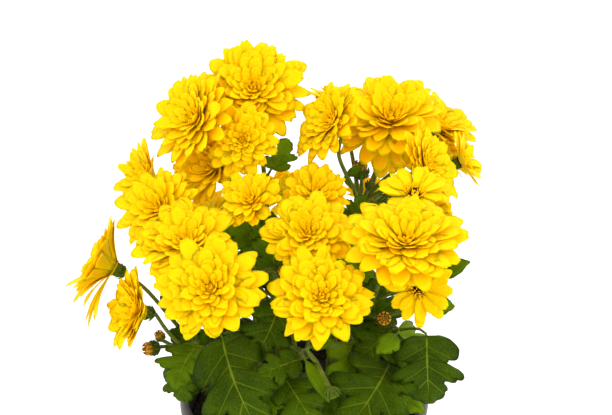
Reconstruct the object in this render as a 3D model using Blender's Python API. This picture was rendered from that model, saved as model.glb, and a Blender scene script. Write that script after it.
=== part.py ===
"""A pot chrysanthemum: five leafy plants with yellow double blooms, in soil, in a plain plastic pot.

Lengths are in millimetres, angles in degrees. The origin is the middle of the pot's base, +Z is up, and
the plant's showing side faces -Y. Each mesh is turned to metres when it is made.
"""

import math

import bmesh
import bpy
import numpy as np

MM = 0.001
GAP = 0.3

# Pot: outer radii and heights of a 13 cm plastic pot
POT_HEIGHT = 115.0
POT_RIM_RADIUS = 65.0
POT_BASE_RADIUS = 47.5
POT_NECK_RADIUS = 61.6
POT_NECK_HEIGHT = 105.0
POT_WALL = 1.8
POT_FLOOR = 2.4
POT_SIDES = 24
DRAIN_HOLES = 6
DRAIN_RADIUS = 5.0
DRAIN_RING_RADIUS = 34.0
HOLE_SIDES = 8

# Soil
SOIL_TOP = 100.0
SOIL_LUMP = 1.6
STEM_HOLE_DEPTH = 14.0
STEM_HOLE_CLEARANCE = 0.2
SOIL_CLEARANCE = 0.4

# Stems and stalks
STEM_RADIUS = 2.6
STEM_SIDES = 6
STALK_SIDES = 5
STALK_FOOT_RADIUS = 1.5
STALK_TOP_RADIUS = 1.1
STALK_DROP = 26.0
BUD_STALK_DROP = 14.0
STALK_BENDS = ((0.35, 0.35), (0.2, 0.3), (0.5, 0.3), (0.3, 0.15), (0.1, 0.5), (0.6, 0.5))
LONGEST_PULL = 22.0
CALYX_LENGTHS = (3.0, 3.5)
CALYX_WAIST_SHARE = 0.66
CALYX_RIM_SHARE = 0.92

# Blooms: a root ring that the petals leave, and the rise from one layer to the next
ROOT_SHARE = 0.19
LAYER_RISE = 1.7
LAYER_THICKNESS = 1.3
NOTCH = 0.52
SHOULDER = 0.25
LENGTH_SPREAD = 0.07
PITCH_SPREAD = 4.0
SMALLEST_ROOT = 3.2
ROOT_SIDES = 6
CROWN_RISE = 1.2
SEPARATION_WAYS = 400
NEIGHBOUR_DISTANCE = 75.0

# Leaves
LEAF_THICKNESS = 1.3
PETIOLE_RADIUS = 0.9
LEAF_FOLD = 14.0
LEAF_ARCH = 0.10
LONGEST_LEAF = 44.0
LEAF_SHRINK = 0.13
LEAF_WIDTH_SHARE = 0.72
PETIOLE_REACH = 9.0
PETIOLE_RISE = 4.0

# One side of a leaf blade: share of the length, then half width as a share of the widest
BLADE_SIDE = (
    (0.00, 0.06),
    (0.09, 0.50),
    (0.28, 0.90),
    (0.37, 0.46),
    (0.56, 1.00),
    (0.67, 0.42),
    (0.85, 0.45),
)
RIB_SHARES = (0.0, 0.33, 0.66)

# Layers of petals of each form, from the outside in: petals, pitch above the face, share of the length
LAYERS = {
    "double": ((12, 4, 1.0), (10, 20, 0.88), (7, 38, 0.68), (5, 60, 0.42)),
    "skirted": ((12, -24, 1.0), (11, -2, 0.92), (9, 20, 0.74), (5, 50, 0.46)),
    "broad": ((12, -8, 1.0), (10, 12, 0.90), (8, 32, 0.70), (5, 56, 0.44)),
    "cupped": ((12, 28, 1.0), (10, 44, 0.86), (7, 62, 0.56)),
    "small": ((10, 8, 1.0), (8, 28, 0.80), (5, 55, 0.46)),
    "single": ((12, 4, 1.0), (9, 20, 0.74)),
}
DISC_FORMS = ("single",)

# Blooms: eye, facing and diameter. Their order in a plant is the order in which they fork
BLOOMS = (
    ("bloom_top_left", (-25, 28, 276), (-0.05, -0.57, 0.82), 52, "double"),
    ("bloom_upper_middle", (-30, 0, 261), (-0.10, -0.80, 0.60), 37, "double"),
    ("bloom_upper_left", (-56, 15, 266), (-0.64, -0.42, 0.64), 48, "double"),
    ("bloom_far_left", (-79, 14, 232), (-0.80, -0.26, 0.54), 34, "small"),
    ("bloom_left", (-71, -18, 234), (-0.45, -0.55, 0.70), 40, "small"),
    ("bloom_left_middle", (-46, 6, 243), (-0.60, -0.52, 0.61), 36, "cupped"),
    ("bloom_inner_left", (-26, -26, 244), (-0.30, -0.40, 0.86), 32, "small"),
    ("bloom_front_left_upper", (-55, -46, 234), (-0.15, -0.34, 0.93), 51, "double"),
    ("bloom_front_left", (-42, -85, 232), (-0.15, -0.64, 0.75), 50, "double"),
    ("bloom_low_left", (-84, -38, 188), (-0.85, -0.35, 0.39), 43, "double"),
    ("bloom_hanging_left", (-99, -5, 194), (-0.88, 0.13, 0.46), 46, "cupped"),
    ("bloom_inner_middle", (6, -13, 240), (0.10, -0.50, 0.86), 33, "small"),
    ("bloom_front_middle_upper", (2, -46, 238), (0.00, -0.50, 0.87), 47, "double"),
    ("bloom_front_middle", (8, -87, 229), (0.00, -0.64, 0.77), 48, "double"),
    ("bloom_front_right", (46, -66, 247), (0.03, -0.30, 0.95), 57, "broad"),
    ("bloom_low_right", (53, -64, 217), (0.10, -0.80, 0.57), 32, "single"),
    ("bloom_top_right", (43, 30, 260), (0.05, -0.30, 0.95), 53, "skirted"),
    ("bloom_upper_right", (10, 8, 268), (-0.65, -0.40, 0.65), 39, "double"),
    ("bloom_behind_right", (21, 64, 251), (-0.10, 0.30, 0.95), 40, "small"),
    ("bloom_right_rear", (71, 54, 244), (0.50, -0.05, 0.86), 44, "double"),
    ("bloom_right", (63, 0, 248), (0.73, -0.35, 0.59), 40, "double"),
    ("bloom_far_right", (82, 30, 234), (0.85, -0.10, 0.50), 30, "single"),
    ("bloom_inner_right", (52, -26, 248), (0.05, -0.30, 0.95), 33, "single"),
    ("bloom_back_top", (-25, 62, 252), (-0.10, 0.60, 0.79), 44, "double"),
    ("bloom_back_left_top", (-58, 48, 240), (-0.60, 0.50, 0.62), 38, "small"),
    ("bloom_back_right_top", (46, 74, 234), (0.25, 0.65, 0.70), 38, "small"),
    ("bloom_back_right", (76, 66, 220), (0.70, 0.50, 0.50), 34, "small"),
    ("bloom_back_low", (-10, 90, 182), (-0.05, 0.90, 0.43), 40, "small"),
    ("bloom_back_low_left", (-54, 74, 178), (-0.50, 0.75, 0.43), 38, "small"),
    ("bloom_back_low_right", (40, 84, 182), (0.35, 0.85, 0.40), 36, "small"),
    ("bloom_back_side_right", (72, 56, 188), (0.70, 0.60, 0.38), 34, "small"),
    ("bloom_back_side_left", (-82, 44, 192), (-0.80, 0.45, 0.40), 36, "small"),
)

# Plants: azimuth of the wedge's start, of its end, and of the main stem at the soil
PLANTS = {
    "plant_left": (167, 214, 193),
    "plant_front": (214, 303, 262),
    "plant_right": (303, 378, 338),
    "plant_back_right": (18, 84, 52),
    "plant_back_left": (84, 167, 128),
}
STEM_FOOT_RADIUS = 22.0
STEM_HEAD_RADIUS = 27.0
STEM_HEAD = 152.0

# Points that a stalk passes where the photograph shows its line
STALK_WAYS = {
    "bloom_upper_left": ((-36, 34, 212), (-44, 33, 242)),
    "bloom_far_left": ((-56, -4, 212),),
    "bloom_low_left": ((-48, -24, 149), (-63, -28, 163)),
    "bloom_hanging_left": ((-76, -12, 180),),
    "bloom_front_right": ((38, -44, 214), (43, -53, 226)),
    "bloom_upper_right": ((25, 12, 226), (17, 9, 246)),
}

# Buds: place, facing, radius, whether yellow shows, and the plant
BUDS = (
    ("bud_left", (-76, -30, 160), (-0.7, -0.5, 0.2), 3.1, True, "plant_left"),
    ("bud_left_small", (-71, -30, 168), (-0.3, -0.2, 0.9), 2.0, True, "plant_left"),
    ("bud_middle", (-10, -32, 206), (0.0, -0.6, 0.8), 2.4, True, "plant_front"),
    ("bud_right", (38, -50, 191), (0.0, -0.7, 0.6), 3.0, True, "plant_right"),
    ("bud_half_open", (28, 18, 235), (-0.1, 0.0, 1.0), 3.4, True, "plant_back_right"),
    ("bud_green_upper", (34, 19, 226), (0.4, 0.0, 0.9), 2.3, False, "plant_back_right"),
    ("bud_green_low", (14, -82, 169), (0.4, -0.4, -0.8), 2.9, False, "plant_front"),
)

# Leaves that show: base of the blade, tip, facing, widest, and the plant
LEAVES = (
    ((59, -42, 176), (60, -62, 150), (0.25, -0.80, 0.55), 38, "plant_right"),
    ((42, -44, 162), (20, -86, 152), (0.05, -0.55, 0.83), 42, "plant_right"),
    ((43, -30, 171), (26, -50, 166), (0.00, -0.50, 0.86), 30, "plant_right"),
    ((34, -22, 166), (33, -30, 200), (0.00, -0.90, -0.20), 24, "plant_right"),
    ((23, -6, 216), (30, -4, 232), (-0.40, -0.80, 0.40), 14, "plant_right"),
    ((66, -30, 203), (79, -34, 213), (0.20, -0.60, 0.80), 10, "plant_right"),
    ((60, -42, 192), (72, -44, 194), (0.10, -0.50, 0.86), 11, "plant_right"),
    ((44, -50, 182), (34, -60, 178), (0.00, -0.60, 0.80), 12, "plant_right"),
    ((-39, -48, 179), (-19, -86, 148), (-0.25, -0.60, 0.75), 40, "plant_front"),
    ((-12, -40, 192), (-24, -60, 174), (0.10, -0.75, 0.65), 26, "plant_front"),
    ((-2, -62, 176), (-22, -70, 172), (0.05, -0.60, 0.80), 18, "plant_front"),
    ((-9, -58, 162), (8, -82, 148), (0.10, -0.60, 0.80), 26, "plant_front"),
    ((-14, -20, 198), (-16, -24, 234), (0.10, -0.95, -0.20), 20, "plant_front"),
    ((3, -70, 189), (15, -74, 194), (0.00, -0.50, 0.86), 8, "plant_front"),
    ((1, -66, 178), (12, -80, 164), (0.30, -0.80, 0.50), 8, "plant_front"),
    ((-62, -22, 147), (-59, -31, 127), (-0.35, -0.85, 0.40), 20, "plant_left"),
    ((-48, -20, 154), (-66, -25, 167), (-0.20, -0.80, 0.55), 20, "plant_left"),
    ((-16, 12, 238), (-8, 12, 255), (0.20, -0.90, 0.30), 16, "plant_back_left"),
    ((21, 9, 236), (29, 9, 242), (0.00, -0.90, 0.40), 5, "plant_back_right"),
)

# Leaves that a rule sets along the stems, with the steps that it turns a leaf by until it is clear
LEAF_SEED = 7
LEAF_SPACING = 15.0
GOLDEN_ANGLE = 137.5
LEAF_LIMIT = {
    "plant_left": 5,
    "plant_front": 3,
    "plant_right": 4,
    "plant_back_right": 6,
    "plant_back_left": 6,
}
LEAF_TURNS = (0, 25, -25, 50, -50, 80, -80)
LEAF_TILTS = (-14, 8, -34, 28)
LEAF_SIZES = (1.0, 0.78)
LEAF_CLEARANCE = 4.5
BLOOM_SEED = 11


def unit(vector):
    """The vector at length one."""
    vector = np.asarray(vector, float)
    return vector / np.linalg.norm(vector)


def around(azimuth, radius, height):
    """A point given by azimuth, radius and height."""
    angle = math.radians(azimuth)
    return np.array([radius * math.cos(angle), radius * math.sin(angle), height])


def carried(vector, before, after):
    """The vector turned by the least turn that takes one direction to the other."""
    return vector - (vector @ after) / (1 + before @ after) * (before + after)


def material(name, colour, roughness, metallic=0.0):
    """A plain finish."""
    finish = bpy.data.materials.new(name)
    finish.use_nodes = True
    shader = finish.node_tree.nodes["Principled BSDF"]
    shader.inputs["Base Color"].default_value = (*colour, 1.0)
    shader.inputs["Roughness"].default_value = roughness
    shader.inputs["Metallic"].default_value = metallic
    return finish


def add_object(name, points, faces, finish=None, collection=None):
    """An object from points in millimetres and faces."""
    mesh = bpy.data.meshes.new(name)
    mesh.from_pydata([tuple(p) for p in np.asarray(points) * MM], [], [tuple(f) for f in faces])
    mesh.update()
    solid = bpy.data.objects.new(name, mesh)
    (collection or bpy.context.scene.collection).objects.link(solid)
    if finish:
        mesh.materials.append(finish)
    return solid


def strip(first, second, first_at, second_at):
    """Triangles between two lines of points, which take the next point of the line that lags."""
    faces = []
    i = j = 0
    while i < len(first) - 1 or j < len(second) - 1:
        step_first = j == len(second) - 1 or (
            i < len(first) - 1 and first_at[i + 1] <= second_at[j + 1]
        )
        if step_first:
            faces.append((first[i], first[i + 1], second[j]))
            i += 1
        else:
            faces.append((first[i], second[j + 1], second[j]))
            j += 1
    return [face for face in faces if len(set(face)) == 3]


def turned(profile, sides, relief=None):
    """Points and faces of a profile turned about Z, with a pole at each end.

    The profile runs from the pole below to the last pole. Relief lifts a point by its place."""
    points = [(0.0, 0.0, profile[0][1])]
    for radius, height in profile[1:-1]:
        for k in range(sides):
            x, y, z = around(360 * k / sides, radius, height)
            points.append((x, y, z + (relief(x, y, z) if relief else 0.0)))
    points.append((0.0, 0.0, profile[-1][1]))
    rows = len(profile) - 2
    top = len(points) - 1
    faces = []
    for k in range(sides):
        after = (k + 1) % sides
        faces.append((0, 1 + after, 1 + k))
        for row in range(rows - 1):
            low = 1 + row * sides
            high = low + sides
            faces.append((low + k, low + after, high + after, high + k))
        last = 1 + (rows - 1) * sides
        faces.append((last + k, last + after, top))
    return points, faces


def apply_boolean(solid, tools, operation, solver):
    """Applies one Boolean with a collection of tools, and removes the tools."""
    modifier = solid.modifiers.new("Join", "BOOLEAN")
    modifier.operation = operation
    modifier.solver = solver
    modifier.operand_type = "COLLECTION"
    modifier.collection = tools
    graph = bpy.context.evaluated_depsgraph_get()
    joined = bpy.data.meshes.new_from_object(solid.evaluated_get(graph))
    solid.modifiers.clear()
    old = solid.data
    solid.data = joined
    joined.name = solid.name
    bpy.data.meshes.remove(old)
    for tool in list(tools.objects):
        bpy.data.objects.remove(tool)
    bpy.data.collections.remove(tools)


def tool_collection(name):
    """A collection for the tools of one Boolean."""
    tools = bpy.data.collections.new(name)
    bpy.context.scene.collection.children.link(tools)
    return tools


def make_pot(finish):
    """The pot: a tapered hollow cup with a rolled lip and drain holes round its floor."""
    neck_inside = POT_NECK_RADIUS - POT_WALL
    base_inside = POT_BASE_RADIUS - POT_WALL
    profile = (
        (0.0, 0.0),
        (POT_BASE_RADIUS - 1.8, 0.0),
        (POT_BASE_RADIUS, 1.6),
        (POT_NECK_RADIUS, POT_NECK_HEIGHT),
        (POT_RIM_RADIUS - 0.6, POT_NECK_HEIGHT + 0.4),
        (POT_RIM_RADIUS, POT_NECK_HEIGHT + 2.6),
        (POT_RIM_RADIUS - 0.5, POT_HEIGHT - 1.2),
        (POT_RIM_RADIUS - 2.0, POT_HEIGHT),
        (POT_RIM_RADIUS - 4.2, POT_HEIGHT - 1.0),
        (neck_inside, POT_NECK_HEIGHT - 2.0),
        (base_inside, POT_FLOOR),
        (0.0, POT_FLOOR),
    )
    pot = add_object("pot", *turned(profile, POT_SIDES), finish)
    tools = tool_collection("drain tools")
    for k in range(DRAIN_HOLES):
        centre = around(360 * (k + 0.5) / DRAIN_HOLES, DRAIN_RING_RADIUS, 0.0)
        hole = ((0, -1.0), (DRAIN_RADIUS, -1.0), (DRAIN_RADIUS, POT_FLOOR + 1.0), (0, POT_FLOOR + 1.0))
        points, faces = turned(hole, HOLE_SIDES)
        add_object("drain tool", np.array(points) + centre, faces, collection=tools)
    apply_boolean(pot, tools, "DIFFERENCE", "EXACT")
    return pot


def lumps(x, y, z):
    """Relief of the soil's top."""
    if z < SOIL_TOP - 1:
        return 0.0
    return SOIL_LUMP * (math.sin(0.31 * x + 1.3) * math.cos(0.27 * y) + 0.5 * math.sin(0.19 * (x - y)))


def stem_foot(plant):
    """Where a plant's main stem meets the soil."""
    return around(PLANTS[plant][2], STEM_FOOT_RADIUS, SOIL_TOP)


def make_soil(finish):
    """The soil: it fills the pot, with a lumpy top and a plain hole for each main stem."""
    neck_inside = POT_NECK_RADIUS - POT_WALL
    base_inside = POT_BASE_RADIUS - POT_WALL
    slope = (neck_inside - base_inside) / (POT_NECK_HEIGHT - 2.0 - POT_FLOOR)
    top_radius = base_inside + slope * (SOIL_TOP - POT_FLOOR)
    profile = (
        (0.0, POT_FLOOR + GAP),
        (base_inside - SOIL_CLEARANCE, POT_FLOOR + GAP),
        (top_radius - SOIL_CLEARANCE - GAP, SOIL_TOP - 1.5),
        (top_radius * 0.90, SOIL_TOP),
        (top_radius * 0.62, SOIL_TOP),
        (top_radius * 0.25, SOIL_TOP),
        (0.0, SOIL_TOP + 0.5),
    )
    soil = add_object("soil", *turned(profile, POT_SIDES, lumps), finish)
    tools = tool_collection("stem hole tools")
    radius = (STEM_RADIUS + STEM_HOLE_CLEARANCE + GAP) / math.cos(math.pi / HOLE_SIDES)
    for plant in PLANTS:
        foot = stem_foot(plant)
        hole = ((0, -STEM_HOLE_DEPTH), (radius, -STEM_HOLE_DEPTH), (radius, 8.0), (0, 8.0))
        points, faces = turned(hole, HOLE_SIDES)
        add_object("stem hole tool", np.array(points) + foot, faces, collection=tools)
    apply_boolean(soil, tools, "DIFFERENCE", "EXACT")
    return soil


class Bloom:
    """One bloom: its own axes, and the rims of its layers of petals."""

    def __init__(self, name, eye, facing, diameter, form, rng):
        self.name = name
        self.form = form
        self.normal = unit(facing)
        self.side = unit(np.cross((0.0, 0.0, 1.0), self.normal))
        self.up = np.cross(self.normal, self.side)
        self.root = max(diameter * ROOT_SHARE / 2, SMALLEST_ROOT)
        layers = LAYERS[form]
        self.top = LAYER_RISE * len(layers)
        self.origin = np.asarray(eye, float) - self.normal * self.top
        flattest = math.cos(math.radians(layers[0][1]))
        self.length = (diameter / 2 - self.root) / flattest
        self.rims = [self.rim(index, layer, rng) for index, layer in enumerate(layers)]

    def rim(self, index, layer, rng):
        """Angle, length and pitch round one layer's rim: a notch and two shoulders for each petal."""
        petals, pitch, share = layer
        step = 360 / petals
        turn = rng.uniform(0, step)
        length = self.length * share
        rows = []
        for k in range(petals):
            middle = turn + k * step
            own = length * (1 + rng.uniform(-LENGTH_SPREAD, LENGTH_SPREAD))
            own_pitch = pitch + rng.uniform(-PITCH_SPREAD, PITCH_SPREAD)
            rows.append((middle - step / 2, length * NOTCH, pitch))
            rows.append((middle - step * SHOULDER, own * 0.97, own_pitch))
            rows.append((middle + step * SHOULDER, own, own_pitch))
        rows = np.array(rows)
        return {
            "angle": rows[:, 0],
            "length": rows[:, 1],
            "pitch": rows[:, 2],
            "height": LAYER_RISE * index,
            "root": self.root * (1.0 - 0.17 * index),
        }

    def ray(self, rim):
        """Root and direction of each rim point, as arrays in space."""
        angle = np.radians(rim["angle"])[:, None]
        pitch = np.radians(rim["pitch"])[:, None]
        out = self.side * np.cos(angle) + self.up * np.sin(angle)
        root = self.origin + out * rim["root"] + self.normal * rim["height"]
        return root, out * np.cos(pitch) + self.normal * np.sin(pitch)

    def rim_points(self, rim):
        """The rim in space."""
        root, way = self.ray(rim)
        return root + way * rim["length"][:, None]

    def petals(self):
        """All rim points."""
        return np.vstack([self.rim_points(rim) for rim in self.rims])

    def heart(self):
        """The bloom's middle and calyx, which are never cut back."""
        angles = np.radians(np.arange(0, 360, 60))[:, None]
        ring = self.origin + (self.side * np.cos(angles) + self.up * np.sin(angles)) * self.root
        axis = [self.origin + self.normal * h for h in (-1.0 - sum(CALYX_LENGTHS), self.top + 1.0)]
        return np.vstack([ring, axis])

    def cut_back(self, way, limit):
        """Draws petals in along their own line until none passes the plane."""
        for rim in self.rims:
            root, ray = self.ray(rim)
            reach = ray @ way
            past = (root + ray * rim["length"][:, None]) @ way > limit
            room = (limit - root @ way)[past] / np.maximum(reach[past], 0.05)
            rim["length"][past] = np.clip(room, 1.2, rim["length"][past])

    def holds(self, points, margin):
        """Whether any point lies within the space of the bloom's petals."""
        offset = points - self.origin
        height = offset @ self.normal
        radius = np.linalg.norm(offset - height[:, None] * self.normal, axis=1)
        pitch = math.radians(LAYERS[self.form][0][1] - PITCH_SPREAD)
        floor = np.minimum((radius - self.root) * math.tan(pitch), 0.0 if pitch < 0 else 99.0)
        reach = self.root + self.length * math.cos(pitch) + margin
        inside = (radius < reach) & (height > floor - 1.5 - margin) & (height < self.top + 9)
        return bool(inside.any())


def spread_directions(count):
    """Directions spread evenly over a sphere."""
    k = np.arange(count) + 0.5
    z = 1 - 2 * k / count
    turn = math.pi * (1 + math.sqrt(5)) * k
    ring = np.sqrt(1 - z * z)
    return np.stack([ring * np.cos(turn), ring * np.sin(turn), z], axis=1)


def part_blooms(blooms):
    """Cuts neighbouring blooms back to the plane that lies best between them."""
    ways = spread_directions(SEPARATION_WAYS)
    for i, first in enumerate(blooms):
        for second in blooms[i + 1 :]:
            if np.linalg.norm(first.origin - second.origin) > NEIGHBOUR_DISTANCE:
                continue
            all_first = np.vstack([first.petals(), first.heart()]) @ ways.T
            all_second = np.vstack([second.petals(), second.heart()]) @ ways.T
            between = all_second.min(axis=0) - all_first.max(axis=0)
            heart_first = (first.heart() @ ways.T).max(axis=0)
            heart_second = (second.heart() @ ways.T).min(axis=0)
            free = heart_second - heart_first
            best = int(np.argmax(np.where(free > 2.0, between, between - 100)))
            if between[best] >= 2 * GAP:
                continue
            middle = (all_second.min(axis=0) + all_first.max(axis=0))[best] / 2
            middle = min(max(middle, heart_first[best] + 1.0), heart_second[best] - 1.0)
            first.cut_back(ways[best], middle - GAP)
            second.cut_back(-ways[best], -(middle + GAP))


def make_bloom(bloom, finish):
    """One closed surface: layers of petals, each a disc cut into petals, round a small crown."""
    points = []
    faces = []
    turns = np.arange(ROOT_SIDES) * 360 / ROOT_SIDES

    def add_ring(angles, radius, height):
        start = len(points)
        for angle in np.radians(angles):
            out = bloom.side * math.cos(angle) + bloom.up * math.sin(angle)
            points.append(bloom.origin + out * radius + bloom.normal * height)
        return list(range(start, len(points)))

    def join(low, high, low_at, high_at, flip=False):
        round_low = [*low_at, low_at[0] + 360]
        round_high = [*high_at, high_at[0] + 360]
        made = strip(low + [low[0]], high + [high[0]], round_low, round_high)
        faces.extend([face[::-1] for face in made] if flip else made)

    foot = bloom.origin - bloom.normal * (LAYER_THICKNESS / 2)
    points.append(foot)
    below = None
    for rim in bloom.rims:
        low = add_ring(turns, rim["root"], rim["height"] - LAYER_THICKNESS / 2)
        if below is None:
            faces.extend((0, low[(k + 1) % ROOT_SIDES], low[k]) for k in range(ROOT_SIDES))
        else:
            join(below, low, turns, turns)
        start = len(points)
        points.extend(bloom.rim_points(rim))
        edge = list(range(start, len(points)))
        first = int(np.argmin(rim["angle"] % 360))
        order = edge[first:] + edge[:first]
        angles = np.roll(rim["angle"], -first) % 360
        high = add_ring(turns, rim["root"], rim["height"] + LAYER_THICKNESS / 2)
        join(low, order, turns, angles)
        join(high, order, turns, angles, flip=True)
        below = high
    crown = bloom.rims[-1]["root"]
    wide = 1.5 if bloom.form in DISC_FORMS else 0.7
    shoulder = add_ring(turns, crown * wide, bloom.rims[-1]["height"] + LAYER_THICKNESS / 2 + CROWN_RISE)
    join(below, shoulder, turns, turns)
    points.append(bloom.origin + bloom.normal * (bloom.top + 1.0))
    tip = len(points) - 1
    faces.extend((shoulder[k], shoulder[(k + 1) % ROOT_SIDES], tip) for k in range(ROOT_SIDES))
    return add_object(bloom.name, points, faces, finish)


def curve_through(points, count):
    """Points evenly spaced along a smooth curve through the given points."""
    points = [np.asarray(p, float) for p in points]
    padded = [2 * points[0] - points[1], *points, 2 * points[-1] - points[-2]]
    fine = []
    for k in range(1, len(padded) - 2):
        a, b, c, d = padded[k - 1 : k + 3]
        square = 2 * a - 5 * b + 4 * c - d
        cube = 3 * b - a - 3 * c + d
        for t in np.linspace(0, 1, 16, endpoint=False):
            fine.append(0.5 * (2 * b + (c - a) * t + square * t**2 + cube * t**3))
    fine = np.array([*fine, points[-1]])
    reach = np.concatenate([[0], np.cumsum(np.linalg.norm(np.diff(fine, axis=0), axis=1))])
    wanted = np.linspace(0, reach[-1], count)
    return np.stack([np.interp(wanted, reach, fine[:, axis]) for axis in range(3)], axis=1)


def bezier(start, start_pull, end_pull, end, count):
    """Points along a curve that leaves and arrives along its pulls."""
    t = np.linspace(0, 1, count)[:, None]
    left = 1 - t
    return start * left**3 + 3 * start_pull * t * left**2 + 3 * end_pull * t**2 * left + end * t**3


def tube(line, radii, sides):
    """Points and faces of a capped tube along a line, with its rings kept from twisting."""
    line = np.asarray(line, float)
    along = np.gradient(line, axis=0)
    along /= np.linalg.norm(along, axis=1)[:, None]
    across = unit(np.cross(along[0], (0.31, 0.87, 0.37)))
    points = []
    for place, way, radius in zip(line, along, radii):
        across = unit(across - way * (across @ way))
        other = np.cross(way, across)
        for k in range(sides):
            angle = 2 * math.pi * k / sides
            points.append(place + radius * (across * math.cos(angle) + other * math.sin(angle)))
    faces = [tuple(range(sides))[::-1]]
    for row in range(len(line) - 1):
        low = row * sides
        for k in range(sides):
            after = (k + 1) % sides
            faces.append((low + k, low + after, low + sides + after, low + sides + k))
    last = (len(line) - 1) * sides
    faces.append(tuple(range(last, last + sides)))
    return points, faces


class Plant:
    """One leafy plant: a main stem, the stalks that fork from it, and its leaves."""

    def __init__(self, name):
        self.name = name
        start, end, middle = PLANTS[name]
        self.walls = [around(start + 90, 1.0, 0.0), around(end - 90, 1.0, 0.0)]
        self.middle = middle
        foot = around(middle, STEM_FOOT_RADIUS, SOIL_TOP - STEM_HOLE_DEPTH + GAP)
        head = around(middle, STEM_HEAD_RADIUS, STEM_HEAD)
        waist = around(middle, STEM_FOOT_RADIUS, SOIL_TOP + 8)
        self.lines = [curve_through([foot, waist, head], 6)]
        self.parts = [tube(self.lines[0], [STEM_RADIUS] * 4 + [2.3, 1.7], STEM_SIDES)]
        self.leaves = []

    def inside(self, points, margin):
        """Whether all points lie in the plant's own wedge of the pot."""
        return all((points @ wall > margin).all() for wall in self.walls)

    def fork(self, target, drop):
        """The nearest point of the plant's stems that lies well below the target."""
        spots = np.vstack([line[1:-1] for line in self.lines])
        spots = spots[spots[:, 2] <= max(target[2] - drop, STEM_HEAD * 0.9)]
        return spots[np.argmin(np.linalg.norm(spots - target, axis=1))]

    def add_stalk(self, end, facing, tail_radii, tail_lengths, blooms, ways=(), drop=STALK_DROP):
        """A stalk from the nearest stem to a bloom or a bud, which widens into its green cup."""
        facing = unit(facing)
        neck = end - facing * sum(tail_lengths)
        start = self.fork(ways[0] if ways else neck, drop)
        span = np.linalg.norm(neck - start)
        best = None
        for lift, pull in STALK_BENDS:
            rise = start + np.array([0.0, 0.0, span * lift])
            arrive = neck - facing * min(span * pull, LONGEST_PULL)
            if ways:
                line = curve_through([start, *ways, neck], 7)
            else:
                line = bezier(start, rise, arrive, neck, 5 if span > 45 else 4)
            hits = sum(bloom.holds(line[1:-1], 1.6) for bloom in blooms)
            if best is None or hits < best[0]:
                best = (hits, line)
        line = best[1]
        self.lines.append(line)
        radii = list(np.linspace(STALK_FOOT_RADIUS, STALK_TOP_RADIUS, len(line)))
        steps = np.cumsum(tail_lengths)
        tail = [neck + facing * step for step in steps]
        self.parts.append(tube([*line, *tail], radii + list(tail_radii), STALK_SIDES))

    def blade(self, base, tip, facing, widest):
        """Side points of a leaf in space, and the points along its rib, with the rib's normals."""
        base = np.asarray(base, float)
        chord = np.asarray(tip, float) - base
        length = np.linalg.norm(chord)
        way = chord / length
        side = unit(np.cross(way, facing))
        normal = np.cross(side, way)
        fold = math.radians(LEAF_FOLD)

        def rib(share):
            return base + chord * share + normal * (LEAF_ARCH * length * 4 * share * (1 - share))

        left = []
        right = []
        for index, (share, half) in enumerate(BLADE_SIDE):
            width = half * widest / 2
            lift = normal * (width * math.sin(fold) - 0.06 * width * (index % 3))
            left.append(rib(share) + side * width * math.cos(fold) + lift)
            right.append(rib(share) - side * width * math.cos(fold) + lift)
        return left, right, [rib(share) for share in RIB_SHARES], rib(1.0), normal, side

    def add_leaf(self, base, tip, facing, widest, root=None):
        """A leaf: a stalk from its root, or the nearest stem, that runs on as the rib of a lobed blade."""
        left, right, rib, end, normal, side = self.blade(base, tip, facing, widest)
        if root is None:
            root = self.fork(np.asarray(base, float), 6.0)
        along = unit(np.asarray(tip, float) - base)
        bend = np.asarray(base, float) - along * min(8.0, 0.4 * np.linalg.norm(base - root))
        top = [p + normal * LEAF_THICKNESS / 2 for p in rib]
        bottom = [p - normal * LEAF_THICKNESS / 2 for p in rib]
        before = unit(rib[1] - rib[0])
        for place, way in ((bend, unit(base - root)), (root, unit(bend - root))):
            normal = carried(normal, before, way)
            side = carried(side, before, way)
            before = way
            top.insert(0, place + normal * PETIOLE_RADIUS)
            bottom.insert(0, place - normal * PETIOLE_RADIUS)
            left.insert(0, place + side * PETIOLE_RADIUS)
            right.insert(0, place - side * PETIOLE_RADIUS)
        lines = []
        points = []
        for line in (left, top, right, bottom):
            lines.append(list(range(len(points), len(points) + len(line))))
            points.extend(line)
        points.append(end)
        for line in lines:
            line.append(len(points) - 1)
        side_at = [-0.6, -0.3, *(share for share, _ in BLADE_SIDE), 1.0]
        rib_at = [-0.6, -0.3, *RIB_SHARES, 1.0]
        faces = []
        for k, line in enumerate(lines):
            after = lines[(k + 1) % 4]
            at, after_at = (side_at, rib_at) if k % 2 == 0 else (rib_at, side_at)
            faces.extend(strip(line, after, at, after_at))
        faces.append((lines[0][0], lines[1][0], lines[2][0], lines[3][0]))
        self.parts.append((points, faces))
        self.leaves.append(np.vstack([left, right, rib, [end]]))

    def make(self, finish):
        """All of the plant as one solid."""
        tools = tool_collection(self.name + " parts")
        for points, faces in self.parts[1:]:
            add_object("part of " + self.name, points, faces, collection=tools)
        plant = add_object(self.name, *self.parts[0], finish)
        apply_boolean(plant, tools, "UNION", "MANIFOLD")
        return plant


def clear_of_pot(points):
    """Whether points stay above the soil and clear of the rim."""
    radius = np.hypot(points[:, 0], points[:, 1])
    over_soil = (radius < POT_RIM_RADIUS + 3) & (points[:, 2] < SOIL_TOP + 4)
    near_rim = (radius > POT_RIM_RADIUS - 9) & (radius < POT_RIM_RADIUS + 3)
    over_rim = near_rim & (points[:, 2] < POT_HEIGHT + 2)
    return not (over_soil.any() or over_rim.any() or (points[:, 2] < 60).any())


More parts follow.
